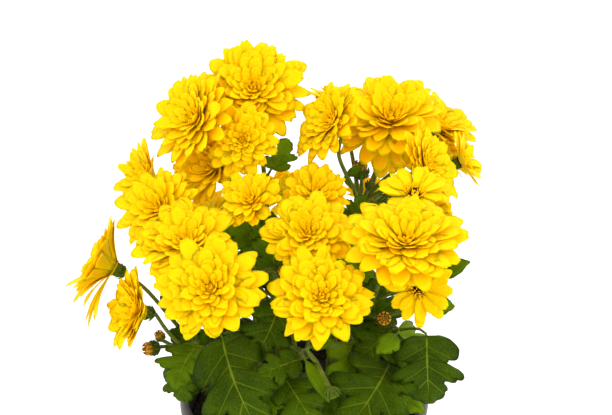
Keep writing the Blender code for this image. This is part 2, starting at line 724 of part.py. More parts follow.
def leaf_is_clear(points, plant, plants, blooms):
    """Whether a leaf's points keep clear of pot, blooms, other plants and other leaves."""
    if not clear_of_pot(points) or not plant.inside(points, 0.8):
        return False
    if any(bloom.holds(points, 0.8) for bloom in blooms):
        return False
    for _, place, _, radius, _, _ in BUDS:
        if np.linalg.norm(points - place, axis=1).min() < radius + LEAF_CLEARANCE:
            return False
    for other in plants.values():
        for leaf in other.leaves:
            gaps = np.linalg.norm(points[:, None] - leaf[None], axis=2)
            if gaps.min() < LEAF_CLEARANCE:
                return False
    return True


def grow_leaves(plant, plants, blooms, rng):
    """Leaves round the plant's stems by the golden angle, each turned until it is clear."""
    placed = 0
    turn = rng.uniform(0, 360)
    for line in list(plant.lines):
        reach = np.concatenate([[0], np.cumsum(np.linalg.norm(np.diff(line, axis=0), axis=1))])
        for at in np.arange(LEAF_SPACING, reach[-1] - 4, LEAF_SPACING):
            if placed >= LEAF_LIMIT[plant.name]:
                return
            foot = np.array([np.interp(at, reach, line[:, axis]) for axis in range(3)])
            if foot[2] < SOIL_TOP + 8:
                continue
            turn += GOLDEN_ANGLE
            outward = math.degrees(math.atan2(foot[1], foot[0]))
            heading = outward + 75 * math.sin(math.radians(turn))
            size = (LONGEST_LEAF - LEAF_SHRINK * (foot[2] - SOIL_TOP)) * rng.uniform(0.85, 1.15)
            if try_leaf(plant, plants, blooms, foot, heading, size):
                placed += 1


def try_leaf(plant, plants, blooms, foot, heading, size):
    """Sets one leaf in the first pose that is clear. Says whether there was one."""
    for share in LEAF_SIZES:
        for tilt in LEAF_TILTS:
            for extra in LEAF_TURNS:
                out = around(heading + extra, 1.0, 0.0)
                rise = math.radians(tilt)
                way = out * math.cos(rise) + np.array([0, 0, math.sin(rise)])
                base = foot + out * PETIOLE_REACH + np.array([0.0, 0.0, PETIOLE_RISE])
                tip = base + way * size * share
                facing = np.array([0.0, 0.0, 1.0]) + out * 0.25
                widest = size * share * LEAF_WIDTH_SHARE
                left, right, rib, end, _, _ = plant.blade(base, tip, facing, widest)
                points = np.vstack([left, right, rib, [end]])
                if leaf_is_clear(points, plant, plants, blooms):
                    plant.add_leaf(base, tip, facing, widest, foot)
                    return True
    return False


def make_bud_tip(name, place, facing, radius, finish):
    """The yellow tip of a bud: a small pointed dome that stands on the green cup."""
    facing = unit(facing)
    line = [place + facing * radius * share for share in (0.0, 0.35, 0.75, 1.05)]
    radii = [radius * share for share in (0.80, 0.86, 0.55, 0.18)]
    return add_object(name + "_tip", *tube(line, radii, 6), finish)


def owner(bloom):
    """The plant in whose wedge the bloom's foot lies."""
    azimuth = math.degrees(math.atan2(bloom.origin[1], bloom.origin[0])) % 360
    for name, (start, end, _) in PLANTS.items():
        if start <= azimuth < end or start <= azimuth + 360 < end:
            return name
    return "plant_front"


def clear_scene():
    """Empties the scene."""
    for old in list(bpy.data.objects):
        bpy.data.objects.remove(old)


def finish_mesh(solid):
    """Turns faces into triangles, outward, and shades the solid."""
    shell = bmesh.new()
    shell.from_mesh(solid.data)
    bmesh.ops.triangulate(shell, faces=shell.faces)
    shell.to_mesh(solid.data)
    shell.free()
    solid.data.shade_smooth()
    solid.data.set_sharp_from_angle(angle=math.radians(35))


def grow_blooms():
    """All blooms, cut clear of each other."""
    blooms = [Bloom(*row, np.random.default_rng((BLOOM_SEED, k))) for k, row in enumerate(BLOOMS)]
    part_blooms(blooms)
    return blooms


def grow_plants(blooms):
    """The five plants with a stalk to each bloom and bud, and their leaves."""
    plants = {name: Plant(name) for name in PLANTS}
    for bloom in blooms:
        cup = bloom.origin - bloom.normal * (LAYER_THICKNESS / 2 + GAP)
        cup_radii = (bloom.root * CALYX_WAIST_SHARE, bloom.root * CALYX_RIM_SHARE)
        others = [other for other in blooms if other is not bloom]
        ways = STALK_WAYS.get(bloom.name, ())
        plants[owner(bloom)].add_stalk(cup, bloom.normal, cup_radii, CALYX_LENGTHS, others, ways)
    for _, place, facing, radius, _, plant in BUDS:
        facing = unit(facing)
        rounded = (radius * 0.85, radius, radius * 0.82)
        lengths = (radius * 0.5, radius * 0.6, radius * 0.6)
        plants[plant].add_stalk(place - facing * GAP, facing, rounded, lengths, blooms, drop=BUD_STALK_DROP)
    for base, tip, facing, widest, plant in LEAVES:
        plants[plant].add_leaf(np.array(base, float), np.array(tip, float), facing, widest)
    rng = np.random.default_rng(LEAF_SEED)
    for plant in plants.values():
        grow_leaves(plant, plants, blooms, rng)
    return plants


def main():
    """Builds the pot, the soil, the blooms, the plants and the bud tips."""
    clear_scene()
    plastic = material("dark grey plastic", (0.075, 0.072, 0.060), 0.45)
    peat = material("dark peat soil", (0.030, 0.020, 0.013), 0.95)
    green = material("leaf green", (0.070, 0.130, 0.006), 0.55)
    yellow = material("petal yellow", (1.0, 0.66, 0.0), 0.6)
    solids = [make_pot(plastic), make_soil(peat)]
    blooms = grow_blooms()
    solids += [make_bloom(bloom, yellow) for bloom in blooms]
    for name, place, facing, radius, yellow_shows, _ in BUDS:
        if yellow_shows:
            solids.append(make_bud_tip(name, np.array(place, float), facing, radius, yellow))
    solids += [plant.make(green) for plant in grow_plants(blooms).values()]
    for solid in solids:
        finish_mesh(solid)


main()
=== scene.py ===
"""A pot chrysanthemum with yellow double blooms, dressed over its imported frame.

Lengths are millimetres and angles degrees until a mesh is made, which turns them to metres. Blooms, stalks
and leaves stand where the same tables and rules put them in the frame's solids, and each is worked out
afresh as a fine numpy surface that stands for the plain solid.
"""

import itertools
import logging
import math
from dataclasses import dataclass, field
from enum import Enum

import bpy
import numpy as np
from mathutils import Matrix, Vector


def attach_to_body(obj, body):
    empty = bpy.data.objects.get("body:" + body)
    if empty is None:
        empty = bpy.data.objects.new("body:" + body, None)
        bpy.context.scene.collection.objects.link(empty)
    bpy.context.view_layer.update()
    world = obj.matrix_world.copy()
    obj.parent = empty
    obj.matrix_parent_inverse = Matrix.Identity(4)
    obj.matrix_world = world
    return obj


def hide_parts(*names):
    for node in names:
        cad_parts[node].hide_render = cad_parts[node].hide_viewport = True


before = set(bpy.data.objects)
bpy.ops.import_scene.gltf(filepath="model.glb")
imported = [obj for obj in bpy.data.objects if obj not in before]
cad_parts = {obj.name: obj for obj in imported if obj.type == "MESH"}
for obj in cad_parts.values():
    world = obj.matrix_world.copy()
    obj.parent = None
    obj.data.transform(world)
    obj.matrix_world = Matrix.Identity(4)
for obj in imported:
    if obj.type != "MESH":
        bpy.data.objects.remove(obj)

LOG = logging.getLogger("pot_chrysanthemum")
MM = 0.001
Vec = tuple[float, float, float]
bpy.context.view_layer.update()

# Directions that no stem and no face has, to square the others from
NO_AXIS = np.array((0.31, 0.87, 0.37))
NEAR_UP = (0.2, 0.1, 1.0)
# Steps between two given points of a smooth curve
CURVE_STEPS = 16
# Soft ribs round a stem
STEM_RIBS = 5
# A hair's rings: how far out each lies, as a share of the hair, and its share of the radius
HAIR_RINGS = ((-0.25, 0.02), (0.1, 1.0), (1.0, 0.02))
HAIR_SIDES = 3

# --------------------------------------------------------------------------- small helpers


def unit(vector: np.ndarray | Vec) -> np.ndarray:
    """The vector at length one."""
    vector = np.asarray(vector, float)
    return vector / np.linalg.norm(vector)


def unit_rows(vectors: np.ndarray) -> np.ndarray:
    """Each row of an array of vectors at length one."""
    return vectors / np.maximum(np.linalg.norm(vectors, axis=-1, keepdims=True), 1e-9)


def around(azimuth: float, radius: float, height: float) -> np.ndarray:
    """A point given by azimuth in degrees, radius and height."""
    angle = math.radians(azimuth)
    return np.array([radius * math.cos(angle), radius * math.sin(angle), height])


def carried(vector: np.ndarray, before: np.ndarray, after: np.ndarray) -> np.ndarray:
    """The vector turned by the least turn that takes one direction to the other."""
    return vector - (vector @ after) / (1 + before @ after) * (before + after)


def linear(colour: str) -> tuple[float, float, float, float]:
    """An sRGB hex colour as linear red, green, blue and alpha."""
    shares = [int(colour[k : k + 2], 16) / 255 for k in (1, 3, 5)]
    return (*(c / 12.92 if c <= 0.04045 else ((c + 0.055) / 1.055) ** 2.4 for c in shares), 1.0)


def smooth_step(x: np.ndarray, low: float, high: float) -> np.ndarray:
    """Zero below low, one above high, with a smooth rise between."""
    t = np.clip((x - low) / (high - low), 0, 1)
    return t * t * (3 - 2 * t)


def face_axes(facing: np.ndarray) -> tuple[np.ndarray, np.ndarray]:
    """Two directions square to the facing and to each other."""
    side = unit(np.cross(NEAR_UP, facing))
    return side, np.cross(facing, side)


def turned(side: np.ndarray, up: np.ndarray, degrees: np.ndarray) -> np.ndarray:
    """Rows of directions between side and up, each at its own angle from side."""
    angle = np.radians(degrees)[:, None]
    return side * np.cos(angle) + up * np.sin(angle)


def reach_along(line: np.ndarray) -> np.ndarray:
    """How far along a path each of its points lies."""
    return np.concatenate([[0], np.cumsum(np.linalg.norm(np.diff(line, axis=0), axis=1))])


def rows_at(rows: np.ndarray, reach: np.ndarray, at: np.ndarray | float) -> np.ndarray:
    """A path's rows of three, read off at given distances along it."""
    return np.stack([np.interp(at, reach, rows[:, axis]) for axis in range(3)], axis=-1)


def curve_through(points: list[np.ndarray], count: int) -> np.ndarray:
    """Points evenly spaced along a smooth curve through the given points.

    Between b and c, at share t, with a before them and d after, the curve is at
    half of 2b + (c - a) t + (2a - 5b + 4c - d) t^2 + (3b - a - 3c + d) t^3.

    Args:
        points: the points to pass.
        count: how many points to return.

    Returns:
        An array of count rows.
    """
    points = [np.asarray(p, float) for p in points]
    padded = [2 * points[0] - points[1], *points, 2 * points[-1] - points[-2]]
    fine = []
    for k in range(1, len(padded) - 2):
        a, b, c, d = padded[k - 1 : k + 3]
        square = 2 * a - 5 * b + 4 * c - d
        cube = 3 * b - a - 3 * c + d
        for t in np.linspace(0, 1, CURVE_STEPS, endpoint=False):
            fine.append(0.5 * (2 * b + (c - a) * t + square * t**2 + cube * t**3))
    fine = np.array([*fine, points[-1]])
    reach = reach_along(fine)
    return rows_at(fine, reach, np.linspace(0, reach[-1], count))


def bezier(
    start: np.ndarray, start_pull: np.ndarray, end_pull: np.ndarray, end: np.ndarray, count: int
) -> np.ndarray:
    """Points along the cubic curve that leaves and arrives along its pulls.

    At share t the four points weigh (1-t)^3, 3t(1-t)^2, 3t^2(1-t) and t^3.

    Args:
        start: where it starts.
        start_pull: the point that it sets out towards.
        end_pull: the point that it arrives from.
        end: where it ends.
        count: how many points to return.

    Returns:
        An array of count rows.
    """
    t = np.linspace(0, 1, count)[:, None]
    left = 1 - t
    return start * left**3 + 3 * start_pull * t * left**2 + 3 * end_pull * t**2 * left + end * t**3


def spread_directions(count: int) -> np.ndarray:
    """Directions spread evenly over a sphere, by the golden spiral.

    Direction k has the height 1 - 2k/count, and is turned by k times the golden ratio of a full turn.

    Args:
        count: how many directions.

    Returns:
        Rows of unit vectors.
    """
    k = np.arange(count) + 0.5
    z = 1 - 2 * k / count
    turn = math.pi * (1 + math.sqrt(5)) * k
    ring = np.sqrt(1 - z * z)
    return np.stack([ring * np.cos(turn), ring * np.sin(turn), z], axis=1)


# --------------------------------------------------------------------------- meshes


@dataclass
class Heap:
    """Surfaces gathered for one piece: points, four-sided faces, and a UV pair, tone and depth per point."""

    points: list[np.ndarray] = field(default_factory=list)
    faces: list[np.ndarray] = field(default_factory=list)
    uvs: list[np.ndarray] = field(default_factory=list)
    tones: list[np.ndarray] = field(default_factory=list)
    depths: list[np.ndarray] = field(default_factory=list)
    count: int = 0

    def add(
        self,
        points: np.ndarray,
        faces: np.ndarray,
        uvs: np.ndarray,
        tones: np.ndarray | float = 0.0,
        depths: np.ndarray | float = 0.0,
    ) -> None:
        """Adds a surface.

        Args:
            points: rows of three, in millimetres.
            faces: rows of four point numbers.
            uvs: rows of two.
            tones: a random tint, for each point or for all.
            depths: a number for each point or for all, whose meaning is the finish's own.
        """
        self.points.append(points)
        self.faces.append(faces + self.count)
        self.uvs.append(uvs)
        self.tones.append(np.broadcast_to(tones, len(points)))
        self.depths.append(np.broadcast_to(depths, len(points)))
        self.count += len(points)

    def piece(self, name: str, finish: bpy.types.Material) -> bpy.types.Object:
        """One object of all the surfaces, with its place in its mesh.

        Args:
            name: the piece's name.
            finish: its material.

        Returns:
            The object, linked to the scene.
        """
        points = np.vstack(self.points) * MM
        faces = np.vstack(self.faces)
        uvs = np.vstack(self.uvs)
        mesh = bpy.data.meshes.new(name)
        mesh.vertices.add(len(points))
        mesh.vertices.foreach_set("co", points.astype(np.float32).ravel())
        mesh.loops.add(faces.size)
        mesh.loops.foreach_set("vertex_index", faces.astype(np.int32).ravel())
        mesh.polygons.add(len(faces))
        mesh.polygons.foreach_set("loop_start", np.arange(0, faces.size, 4, dtype=np.int32))
        mesh.update(calc_edges=True)
        mesh.validate()
        layer = mesh.uv_layers.new(name="surface")
        corners = np.zeros(len(mesh.loops), np.int32)
        mesh.loops.foreach_get("vertex_index", corners)
        layer.data.foreach_set("uv", uvs[corners].astype(np.float32).ravel())
        for label, values in (("tone", self.tones), ("depth", self.depths)):
            store = mesh.attributes.new(label, "FLOAT", "POINT")
            store.data.foreach_set("value", np.concatenate(values).astype(np.float32))
        mesh.shade_smooth()
        mesh.materials.append(finish)
        made = bpy.data.objects.new(name, mesh)
        bpy.context.scene.collection.objects.link(made)
        LOG.info("%s: %d faces", name, len(faces))
        return made


def grid_faces(rows: int, columns: int, closed: bool = False) -> np.ndarray:
    """Four-sided faces of a grid of points, counted row by row.

    Args:
        rows: how many rows of points.
        columns: points in a row.
        closed: whether the last column joins the first.

    Returns:
        Rows of four point numbers.
    """
    i, j = np.meshgrid(np.arange(rows - 1), np.arange(columns if closed else columns - 1), indexing="ij")
    after = (j + 1) % columns
    a = i * columns + j
    b = i * columns + after
    return np.stack([a, b, b + columns, a + columns], axis=-1).reshape(-1, 4)


def lens_faces(rows: int, columns: int) -> tuple[np.ndarray, np.ndarray]:
    """Faces of a closed thin blade: an upper grid, and a lower one that shares its border points.

    Args:
        rows: rows of points along the blade.
        columns: points across it.

    Returns:
        The faces, and the upper-grid numbers of the points that the lower sheet repeats.
    """
    upper = grid_faces(rows, columns)
    number = np.arange(rows * columns).reshape(rows, columns)
    inner = number[1:-1, 1:-1]
    lower_number = number.copy()
    lower_number[1:-1, 1:-1] = rows * columns + np.arange(inner.size).reshape(inner.shape)
    return np.vstack([upper, lower_number.ravel()[upper][:, ::-1]]), inner.ravel()


def swept_tube(
    line: np.ndarray, radii: np.ndarray, sides: int, ribs: float = 0.0
) -> tuple[np.ndarray, np.ndarray, np.ndarray]:
    """A round skin along a path: each path point's ring lies square to the path, at its own radius.

    Args:
        line: the path's points.
        radii: the radius at each of them.
        sides: points round a ring.
        ribs: share of the radius by which soft ribs stand out.

    Returns:
        Points, faces and UVs (round, along in millimetres). Both ends close to a point.
    """
    line = np.asarray(line, float)
    along = unit_rows(np.gradient(line, axis=0))
    across = unit_rows(NO_AXIS - along * (along @ NO_AXIS)[:, None])
    other = np.cross(along, across)
    turn = np.linspace(0, 2 * math.pi, sides, endpoint=False)
    swell = 1 + ribs * np.cos(STEM_RIBS * turn)
    spokes = across[:, None] * np.cos(turn)[None, :, None] + other[:, None] * np.sin(turn)[None, :, None]
    skin = line[:, None] + spokes * (np.asarray(radii)[:, None] * swell)[..., None]
    skin = np.concatenate([np.repeat(line[:1, None], sides, 1), skin, np.repeat(line[-1:, None], sides, 1)])
    reach = reach_along(line)
    reach = np.concatenate([reach[:1], reach, reach[-1:]])
    uvs = np.stack(np.broadcast_arrays(np.arange(sides) / sides, reach[:, None]), axis=-1)
    return skin.reshape(-1, 3), grid_faces(len(skin), sides, closed=True), uvs.reshape(-1, 2)


def add_hairs(heap: Heap, feet: np.ndarray, ways: np.ndarray, lengths: np.ndarray, thick: float) -> None:
    """Adds fine hairs, each a slim three-sided spindle from just under its foot to a point.

    Args:
        heap: where they go.
        feet: the point each hair stands on.
        ways: the direction of each.
        lengths: the length of each.
        thick: the radius of a hair near its foot.
    """
    side = unit_rows(np.cross(ways, NO_AXIS))
    other = np.cross(ways, side)
    turn = np.arange(HAIR_SIDES) * 2 * math.pi / HAIR_SIDES
    spokes = side[:, None] * np.cos(turn)[None, :, None] + other[:, None] * np.sin(turn)[None, :, None]
    rings = [(feet + ways * (lengths * share)[:, None])[:, None] + spokes * thick * wide for share, wide in HAIR_RINGS]
    flat = np.stack(rings, axis=1).reshape(-1, 3)
    each = len(HAIR_RINGS) * HAIR_SIDES
    faces = grid_faces(len(HAIR_RINGS), HAIR_SIDES, closed=True)[None] + (np.arange(len(feet)) * each)[:, None, None]
    heap.add(flat, faces.reshape(-1, 4), np.zeros((len(flat), 2)))


# --------------------------------------------------------------------------- finishes


RAMP = "ShaderNodeValToRGB"
MIX = "ShaderNodeMix"
NOISE = "ShaderNodeTexNoise"
CELLS = "ShaderNodeTexVoronoi"
MATH = "ShaderNodeMath"
VECTORS = "ShaderNodeVectorMath"
RANGE = "ShaderNodeMapRange"
BUMP = "ShaderNodeBump"
STORED = "ShaderNodeAttribute"


def per_metre(size_mm: float) -> float:
    """The scale at which a pattern's features are that many millimetres across."""
    return 1000 / size_mm


def add_node(
    tree: bpy.types.NodeTree,
    kind: str,
    links: dict[int | str, object] | None = None,
    stops: tuple[tuple[float, str], ...] = (),
    **settings: object,
) -> bpy.types.Node:
    """Adds a shader node.

    Args:
        tree: the material's nodes.
        kind: Blender's name of the node type.
        links: input name or number to an output socket, an sRGB hex colour or a plain value.
        stops: for a colour ramp, the place and sRGB hex colour of each stop.
        **settings: the node's own properties.

    Returns:
        The node.
    """
    node = tree.nodes.new(kind)
    for name, value in settings.items():
        setattr(node, name, value)
    for name, value in (links or {}).items():
        if isinstance(value, bpy.types.NodeSocket):
            tree.links.new(value, node.inputs[name])
        else:
            node.inputs[name].default_value = linear(value) if isinstance(value, str) else value
    if stops:
        ramp = node.color_ramp
        while len(ramp.elements) < len(stops):
            ramp.elements.new(0.5)
        for element, (place, colour) in zip(ramp.elements, stops):
            element.position = place
            element.color = linear(colour)
    return node


@dataclass(frozen=True)
class Finish:
    """A material as its real surface is made. Subclasses paint its nodes.

    Sheen stands for down or felt, glow for light that passes through thin tissue, with the depth and the
    tint that it reaches, and mirror for how much of the plain reflection a waxy or felted skin leaves.
    """

    name: str
    roughness: float
    ior: float
    sheen: float = 0.0
    glow: float = 0.0
    glow_depth_mm: float = 1.0
    glow_tint: Vec = (1.0, 0.5, 0.2)
    mirror: float = 0.5

    def make(self) -> bpy.types.Material:
        """The Blender material, its plain numbers set on the shader itself.

        Returns:
            The material.
        """
        material = bpy.data.materials.new(self.name)
        material.use_nodes = True
        tree = material.node_tree
        shader = tree.nodes["Principled BSDF"]
        shader.inputs["Roughness"].default_value = self.roughness
        shader.inputs["IOR"].default_value = self.ior
        shader.inputs["Specular IOR Level"].default_value = self.mirror
        shader.inputs["Sheen Weight"].default_value = self.sheen
        shader.inputs["Sheen Roughness"].default_value = 0.4
        shader.inputs["Subsurface Weight"].default_value = self.glow
        shader.inputs["Subsurface Radius"].default_value = self.glow_tint
        shader.inputs["Subsurface Scale"].default_value = self.glow_depth_mm * MM
        self.paint(tree, shader)
        return material

    def paint(self, tree: bpy.types.NodeTree, shader: bpy.types.Node) -> None:
        """Adds the colour, roughness and relief nodes.

        Args:
            tree: the material's nodes.
            shader: its surface.
        """
        raise NotImplementedError


@dataclass(frozen=True)
class PetalFinish(Finish):
    """A ray floret, grown, with waxy domed cells over thin wet tissue.

    The cells give the eye a satin yellow with no hard streak of light, and the thin tissue lets light through, so that
    petals stay a warm yellow even in the shade of others. The colour is also painted palest at the base and deepest at
    the tip: painted light in the shaded crevices where petals start, and painted shade on their brightly lit tips.
    """

    base: str = "#FFD400"
    middle: str = "#FFCE00"
    tip: str = "#FFC400"
    shade: str = "#FFC000"
    # The centre's own dark brown, also used as painted shade deep in the bloom
    eye: str = "#3C1802"
    vein_mm: float = 0.12

    def paint(self, tree: bpy.types.NodeTree, shader: bpy.types.Node) -> None:
        """A base to tip gradient, palest at the base and deepest at the tip, which is painted light in the shaded
        crevices where petals start and dims their brightly lit tips; own tint of each petal, fine lengthwise veins, and
        dark brown at the foot of the inner petals, partly the centre's own colour and partly painted shade.

        Args:
            tree: the material's nodes.
            shader: its surface.
        """
        uv = add_node(tree, "ShaderNodeUVMap", uv_map="surface").outputs["UV"]
        along = add_node(tree, "ShaderNodeSeparateXYZ", {0: uv}).outputs["Y"]
        tone = add_node(tree, STORED, attribute_name="tone").outputs["Fac"]
        depth = add_node(tree, STORED, attribute_name="depth").outputs["Fac"]
        # Painted light: the ramp is palest at the petal's base, which lies in the shaded crevices, and deepest at its
        # brightly lit tip
        stops = ((0.0, self.base), (0.34, self.middle), (1.0, self.tip))
        colour = add_node(tree, RAMP, {0: along}, stops=stops).outputs[0]
        colour = add_node(tree, MIX, {0: tone, 6: colour, 7: self.shade}, data_type="RGBA").outputs[2]
        # Veins run the petal's length, about 0.7 mm apart: some 13 across a petal 9 mm wide, and 2 along it
        place = add_node(tree, "ShaderNodeCombineXYZ", {2: tone})
        stretch = add_node(tree, VECTORS, {0: uv, 1: (8.0, 1.2, 1.0)}, operation="MULTIPLY")
        moved = add_node(tree, VECTORS, {0: stretch.outputs[0], 1: place.outputs[0]})
        veins = add_node(tree, NOISE, {"Vector": moved.outputs[0], "Scale": 1.6, "Detail": 3.0})
        lines = add_node(tree, RANGE, {0: veins.outputs["Fac"], 1: 0.45, 2: 0.75, 3: 0.0, 4: 0.2})
        colour = add_node(tree, MIX, {0: lines.outputs[0], 6: colour, 7: self.base}, data_type="RGBA").outputs[2]
        # Darker towards the dark brown eye at the foot of each petal, weighed by depth: partly the centre's own colour,
        # partly painted shade deep in the bloom
        throat_and_painted_shade = add_node(tree, RANGE, {0: along, 1: 0.04, 2: 0.30, 3: 1.0, 4: 0.0})
        dark = add_node(tree, MATH, {0: throat_and_painted_shade.outputs[0], 1: depth}, operation="MULTIPLY")
        colour = add_node(tree, MIX, {0: dark.outputs[0], 6: colour, 7: self.eye}, data_type="RGBA").outputs[2]
        tree.links.new(colour, shader.inputs["Base Color"])
        relief = add_node(tree, BUMP, {"Height": veins.outputs["Fac"], "Distance": self.vein_mm * MM, "Strength": 0.5})
        tree.links.new(relief.outputs[0], shader.inputs["Normal"])


@dataclass(frozen=True)
class LeafFinish(Finish):
    """A chrysanthemum leaf, grown: a soft skin under a thin felt, with its veins sunk in.

    The felt gives the eye a matt dark green, the sunken veins pale lines with quilted flesh between
    them, and the thicker felt below a greyer underside.
    """

    deep: str = "#243800"
    green: str = "#3C5500"
    light: str = "#607E02"
    vein: str = "#7A8C1C"
    under: str = "#52642E"
    cloud_mm: float = 11.76
    mesh_mm: float = 1.667
    quilt_mm: float = 0.35

    def paint(self, tree: bpy.types.NodeTree, shader: bpy.types.Node) -> None:
        """Cloudy green, a pale midrib and side veins from the leaf's own map, a net of fine veins, grey below.

        Args:
            tree: the material's nodes.
            shader: its surface.
        """
        uv = add_node(tree, "ShaderNodeUVMap", uv_map="surface").outputs["UV"]
        split = add_node(tree, "ShaderNodeSeparateXYZ", {0: uv})
        tone = add_node(tree, STORED, attribute_name="tone").outputs["Fac"]
        depth = add_node(tree, STORED, attribute_name="depth").outputs["Fac"]
        spot = add_node(tree, "ShaderNodeTexCoord").outputs["Object"]
        clouds = add_node(tree, NOISE, {"Vector": spot, "Scale": per_metre(self.cloud_mm), "Detail": 4.0})
        mixed = add_node(tree, MATH, {0: clouds.outputs["Fac"], 1: tone}, operation="ADD")
        level = add_node(tree, RANGE, {0: mixed.outputs[0], 1: 0.35, 2: 1.45})
        stops = ((0.0, self.deep), (0.5, self.green), (1.0, self.light))
        colour = add_node(tree, RAMP, {0: level.outputs[0]}, stops=stops).outputs[0]
        # The map's U runs from the rib, 0, to the edge, 1, and V counts side veins
        side = add_node(tree, MATH, {0: split.outputs["Y"], 1: 0.5}, operation="PINGPONG")
        thin = add_node(tree, RANGE, {0: split.outputs["X"], 1: 0.0, 2: 1.0, 3: 0.05, 4: 0.012})
        near = add_node(tree, MATH, {0: side.outputs[0], 1: thin.outputs[0]}, operation="DIVIDE")
        side_vein = add_node(tree, RANGE, {0: near.outputs[0], 1: 0.2, 2: 1.4, 3: 0.42, 4: 0.0})
        rib = add_node(tree, RANGE, {0: split.outputs["X"], 1: 0.01, 2: 0.045, 3: 0.7, 4: 0.0})
        scale = per_metre(self.mesh_mm)
        net = add_node(tree, CELLS, {"Vector": spot, "Scale": scale}, feature="DISTANCE_TO_EDGE")
        mesh_line = add_node(tree, RANGE, {0: net.outputs[0], 1: 0.0, 2: 0.12, 3: 0.12, 4: 0.0})
        veins = add_node(tree, MATH, {0: side_vein.outputs[0], 1: rib.outputs[0]}, operation="MAXIMUM")
        lines = add_node(tree, MATH, {0: veins.outputs[0], 1: mesh_line.outputs[0]}, operation="MAXIMUM")
        colour = add_node(tree, MIX, {0: lines.outputs[0], 6: colour, 7: self.vein}, data_type="RGBA").outputs[2]
        colour = add_node(tree, MIX, {0: depth, 6: colour, 7: self.under}, data_type="RGBA").outputs[2]
        tree.links.new(colour, shader.inputs["Base Color"])
        height = add_node(tree, MATH, {0: 1.0, 1: lines.outputs[0]}, operation="SUBTRACT")
        relief = add_node(tree, BUMP, {"Height": height.outputs[0], "Distance": self.quilt_mm * MM, "Strength": 0.7})
        tree.links.new(relief.outputs[0], shader.inputs["Normal"])


@dataclass(frozen=True)
class StemFinish(Finish):
    """A soft green stem or bract, grown, with ribs along it and grey down on it.

    The down takes the shine off, the ribs give pale streaks along the stem, and bark browns its foot.
    """

    green: str = "#3C4C06"
    pale: str = "#6F7C26"
    brown: str = "#54461E"
    rib_mm: float = 0.3

    def paint(self, tree: bpy.types.NodeTree, shader: bpy.types.Node) -> None:
        """Streaks along the stem and browner wood near its foot.

        Args:
            tree: the material's nodes.
            shader: its surface.
        """
        uv = add_node(tree, "ShaderNodeUVMap", uv_map="surface").outputs["UV"]
        depth = add_node(tree, STORED, attribute_name="depth").outputs["Fac"]
        # The map's V is in millimetres: streaks come out 0.6 mm wide and 5.6 mm long
        stretch = add_node(tree, VECTORS, {0: uv, 1: (9.0, 0.12, 1.0)}, operation="MULTIPLY")
        streaks = add_node(tree, NOISE, {"Vector": stretch.outputs[0], "Scale": 1.5, "Detail": 4.0})
        stops = ((0.35, self.green), (0.68, self.pale))
        colour = add_node(tree, RAMP, {0: streaks.outputs["Fac"]}, stops=stops).outputs[0]
        colour = add_node(tree, MIX, {0: depth, 6: colour, 7: self.brown}, data_type="RGBA").outputs[2]
        tree.links.new(colour, shader.inputs["Base Color"])
        relief = add_node(tree, BUMP, {"Height": streaks.outputs["Fac"], "Distance": self.rib_mm * MM, "Strength": 0.6})
        tree.links.new(relief.outputs[0], shader.inputs["Normal"])


@dataclass(frozen=True)
class DownFinish(Finish):
    """Plant down, fine dry hairs full of air: they scatter light, so that a stem looks greyish and soft."""

    colour: str = "#A9AE8A"

    def paint(self, tree: bpy.types.NodeTree, shader: bpy.types.Node) -> None:
        """One pale grey-green, for a hair is too fine to show more."""
        shader.inputs["Base Color"].default_value = linear(self.colour)


@dataclass(frozen=True)
class PotFinish(Finish):
    """Dark grey polypropylene, moulded against fine-grained steel, then handled and dusty.

    The grain gives the eye a soft broad shine, scratches and dust make it paler, and rough where it lies.
    """

    grey: str = "#3A3932"
    dark: str = "#25251F"
    scuff: str = "#6E6A60"
    dust_mm: float = 22.22
    grain_mm: float = 0.7143
    grain_deep_mm: float = 0.1

    def paint(self, tree: bpy.types.NodeTree, shader: bpy.types.Node) -> None:
        """Soft blotches of dust, fine scratches that run round, and a faint moulded grain.

        Args:
            tree: the material's nodes.
            shader: its surface.
        """
        spot = add_node(tree, "ShaderNodeTexCoord").outputs["Object"]
        scale = per_metre(self.dust_mm)
        dust = add_node(tree, NOISE, {"Vector": spot, "Scale": scale, "Detail": 6.0, "Roughness": 0.65})
        stops = ((0.30, self.dark), (0.60, self.grey), (0.95, self.scuff))
        colour = add_node(tree, RAMP, {0: dust.outputs["Fac"]}, stops=stops).outputs[0]
        # Scratches 1.1 mm high and 8 mm long, as many to the metre, run round the pot
        flat = add_node(tree, VECTORS, {0: spot, 1: (120.0, 120.0, 900.0)}, operation="MULTIPLY")
        scratch = add_node(tree, NOISE, {"Vector": flat.outputs[0], "Scale": 1.0, "Detail": 5.0})
        marks = add_node(tree, RANGE, {0: scratch.outputs["Fac"], 1: 0.62, 2: 0.76, 3: 0.0, 4: 0.5})
        colour = add_node(tree, MIX, {0: marks.outputs[0], 6: colour, 7: self.scuff}, data_type="RGBA").outputs[2]
        tree.links.new(colour, shader.inputs["Base Color"])
        rough = add_node(tree, RANGE, {0: dust.outputs["Fac"], 1: 0.3, 2: 0.7, 3: 0.42, 4: 0.75})
        tree.links.new(rough.outputs[0], shader.inputs["Roughness"])
        grain = add_node(tree, NOISE, {"Vector": spot, "Scale": per_metre(self.grain_mm), "Detail": 2.0})
        height = {"Height": grain.outputs["Fac"], "Distance": self.grain_deep_mm * MM, "Strength": 0.5}
        relief = add_node(tree, BUMP, height)
        tree.links.new(relief.outputs[0], shader.inputs["Normal"])


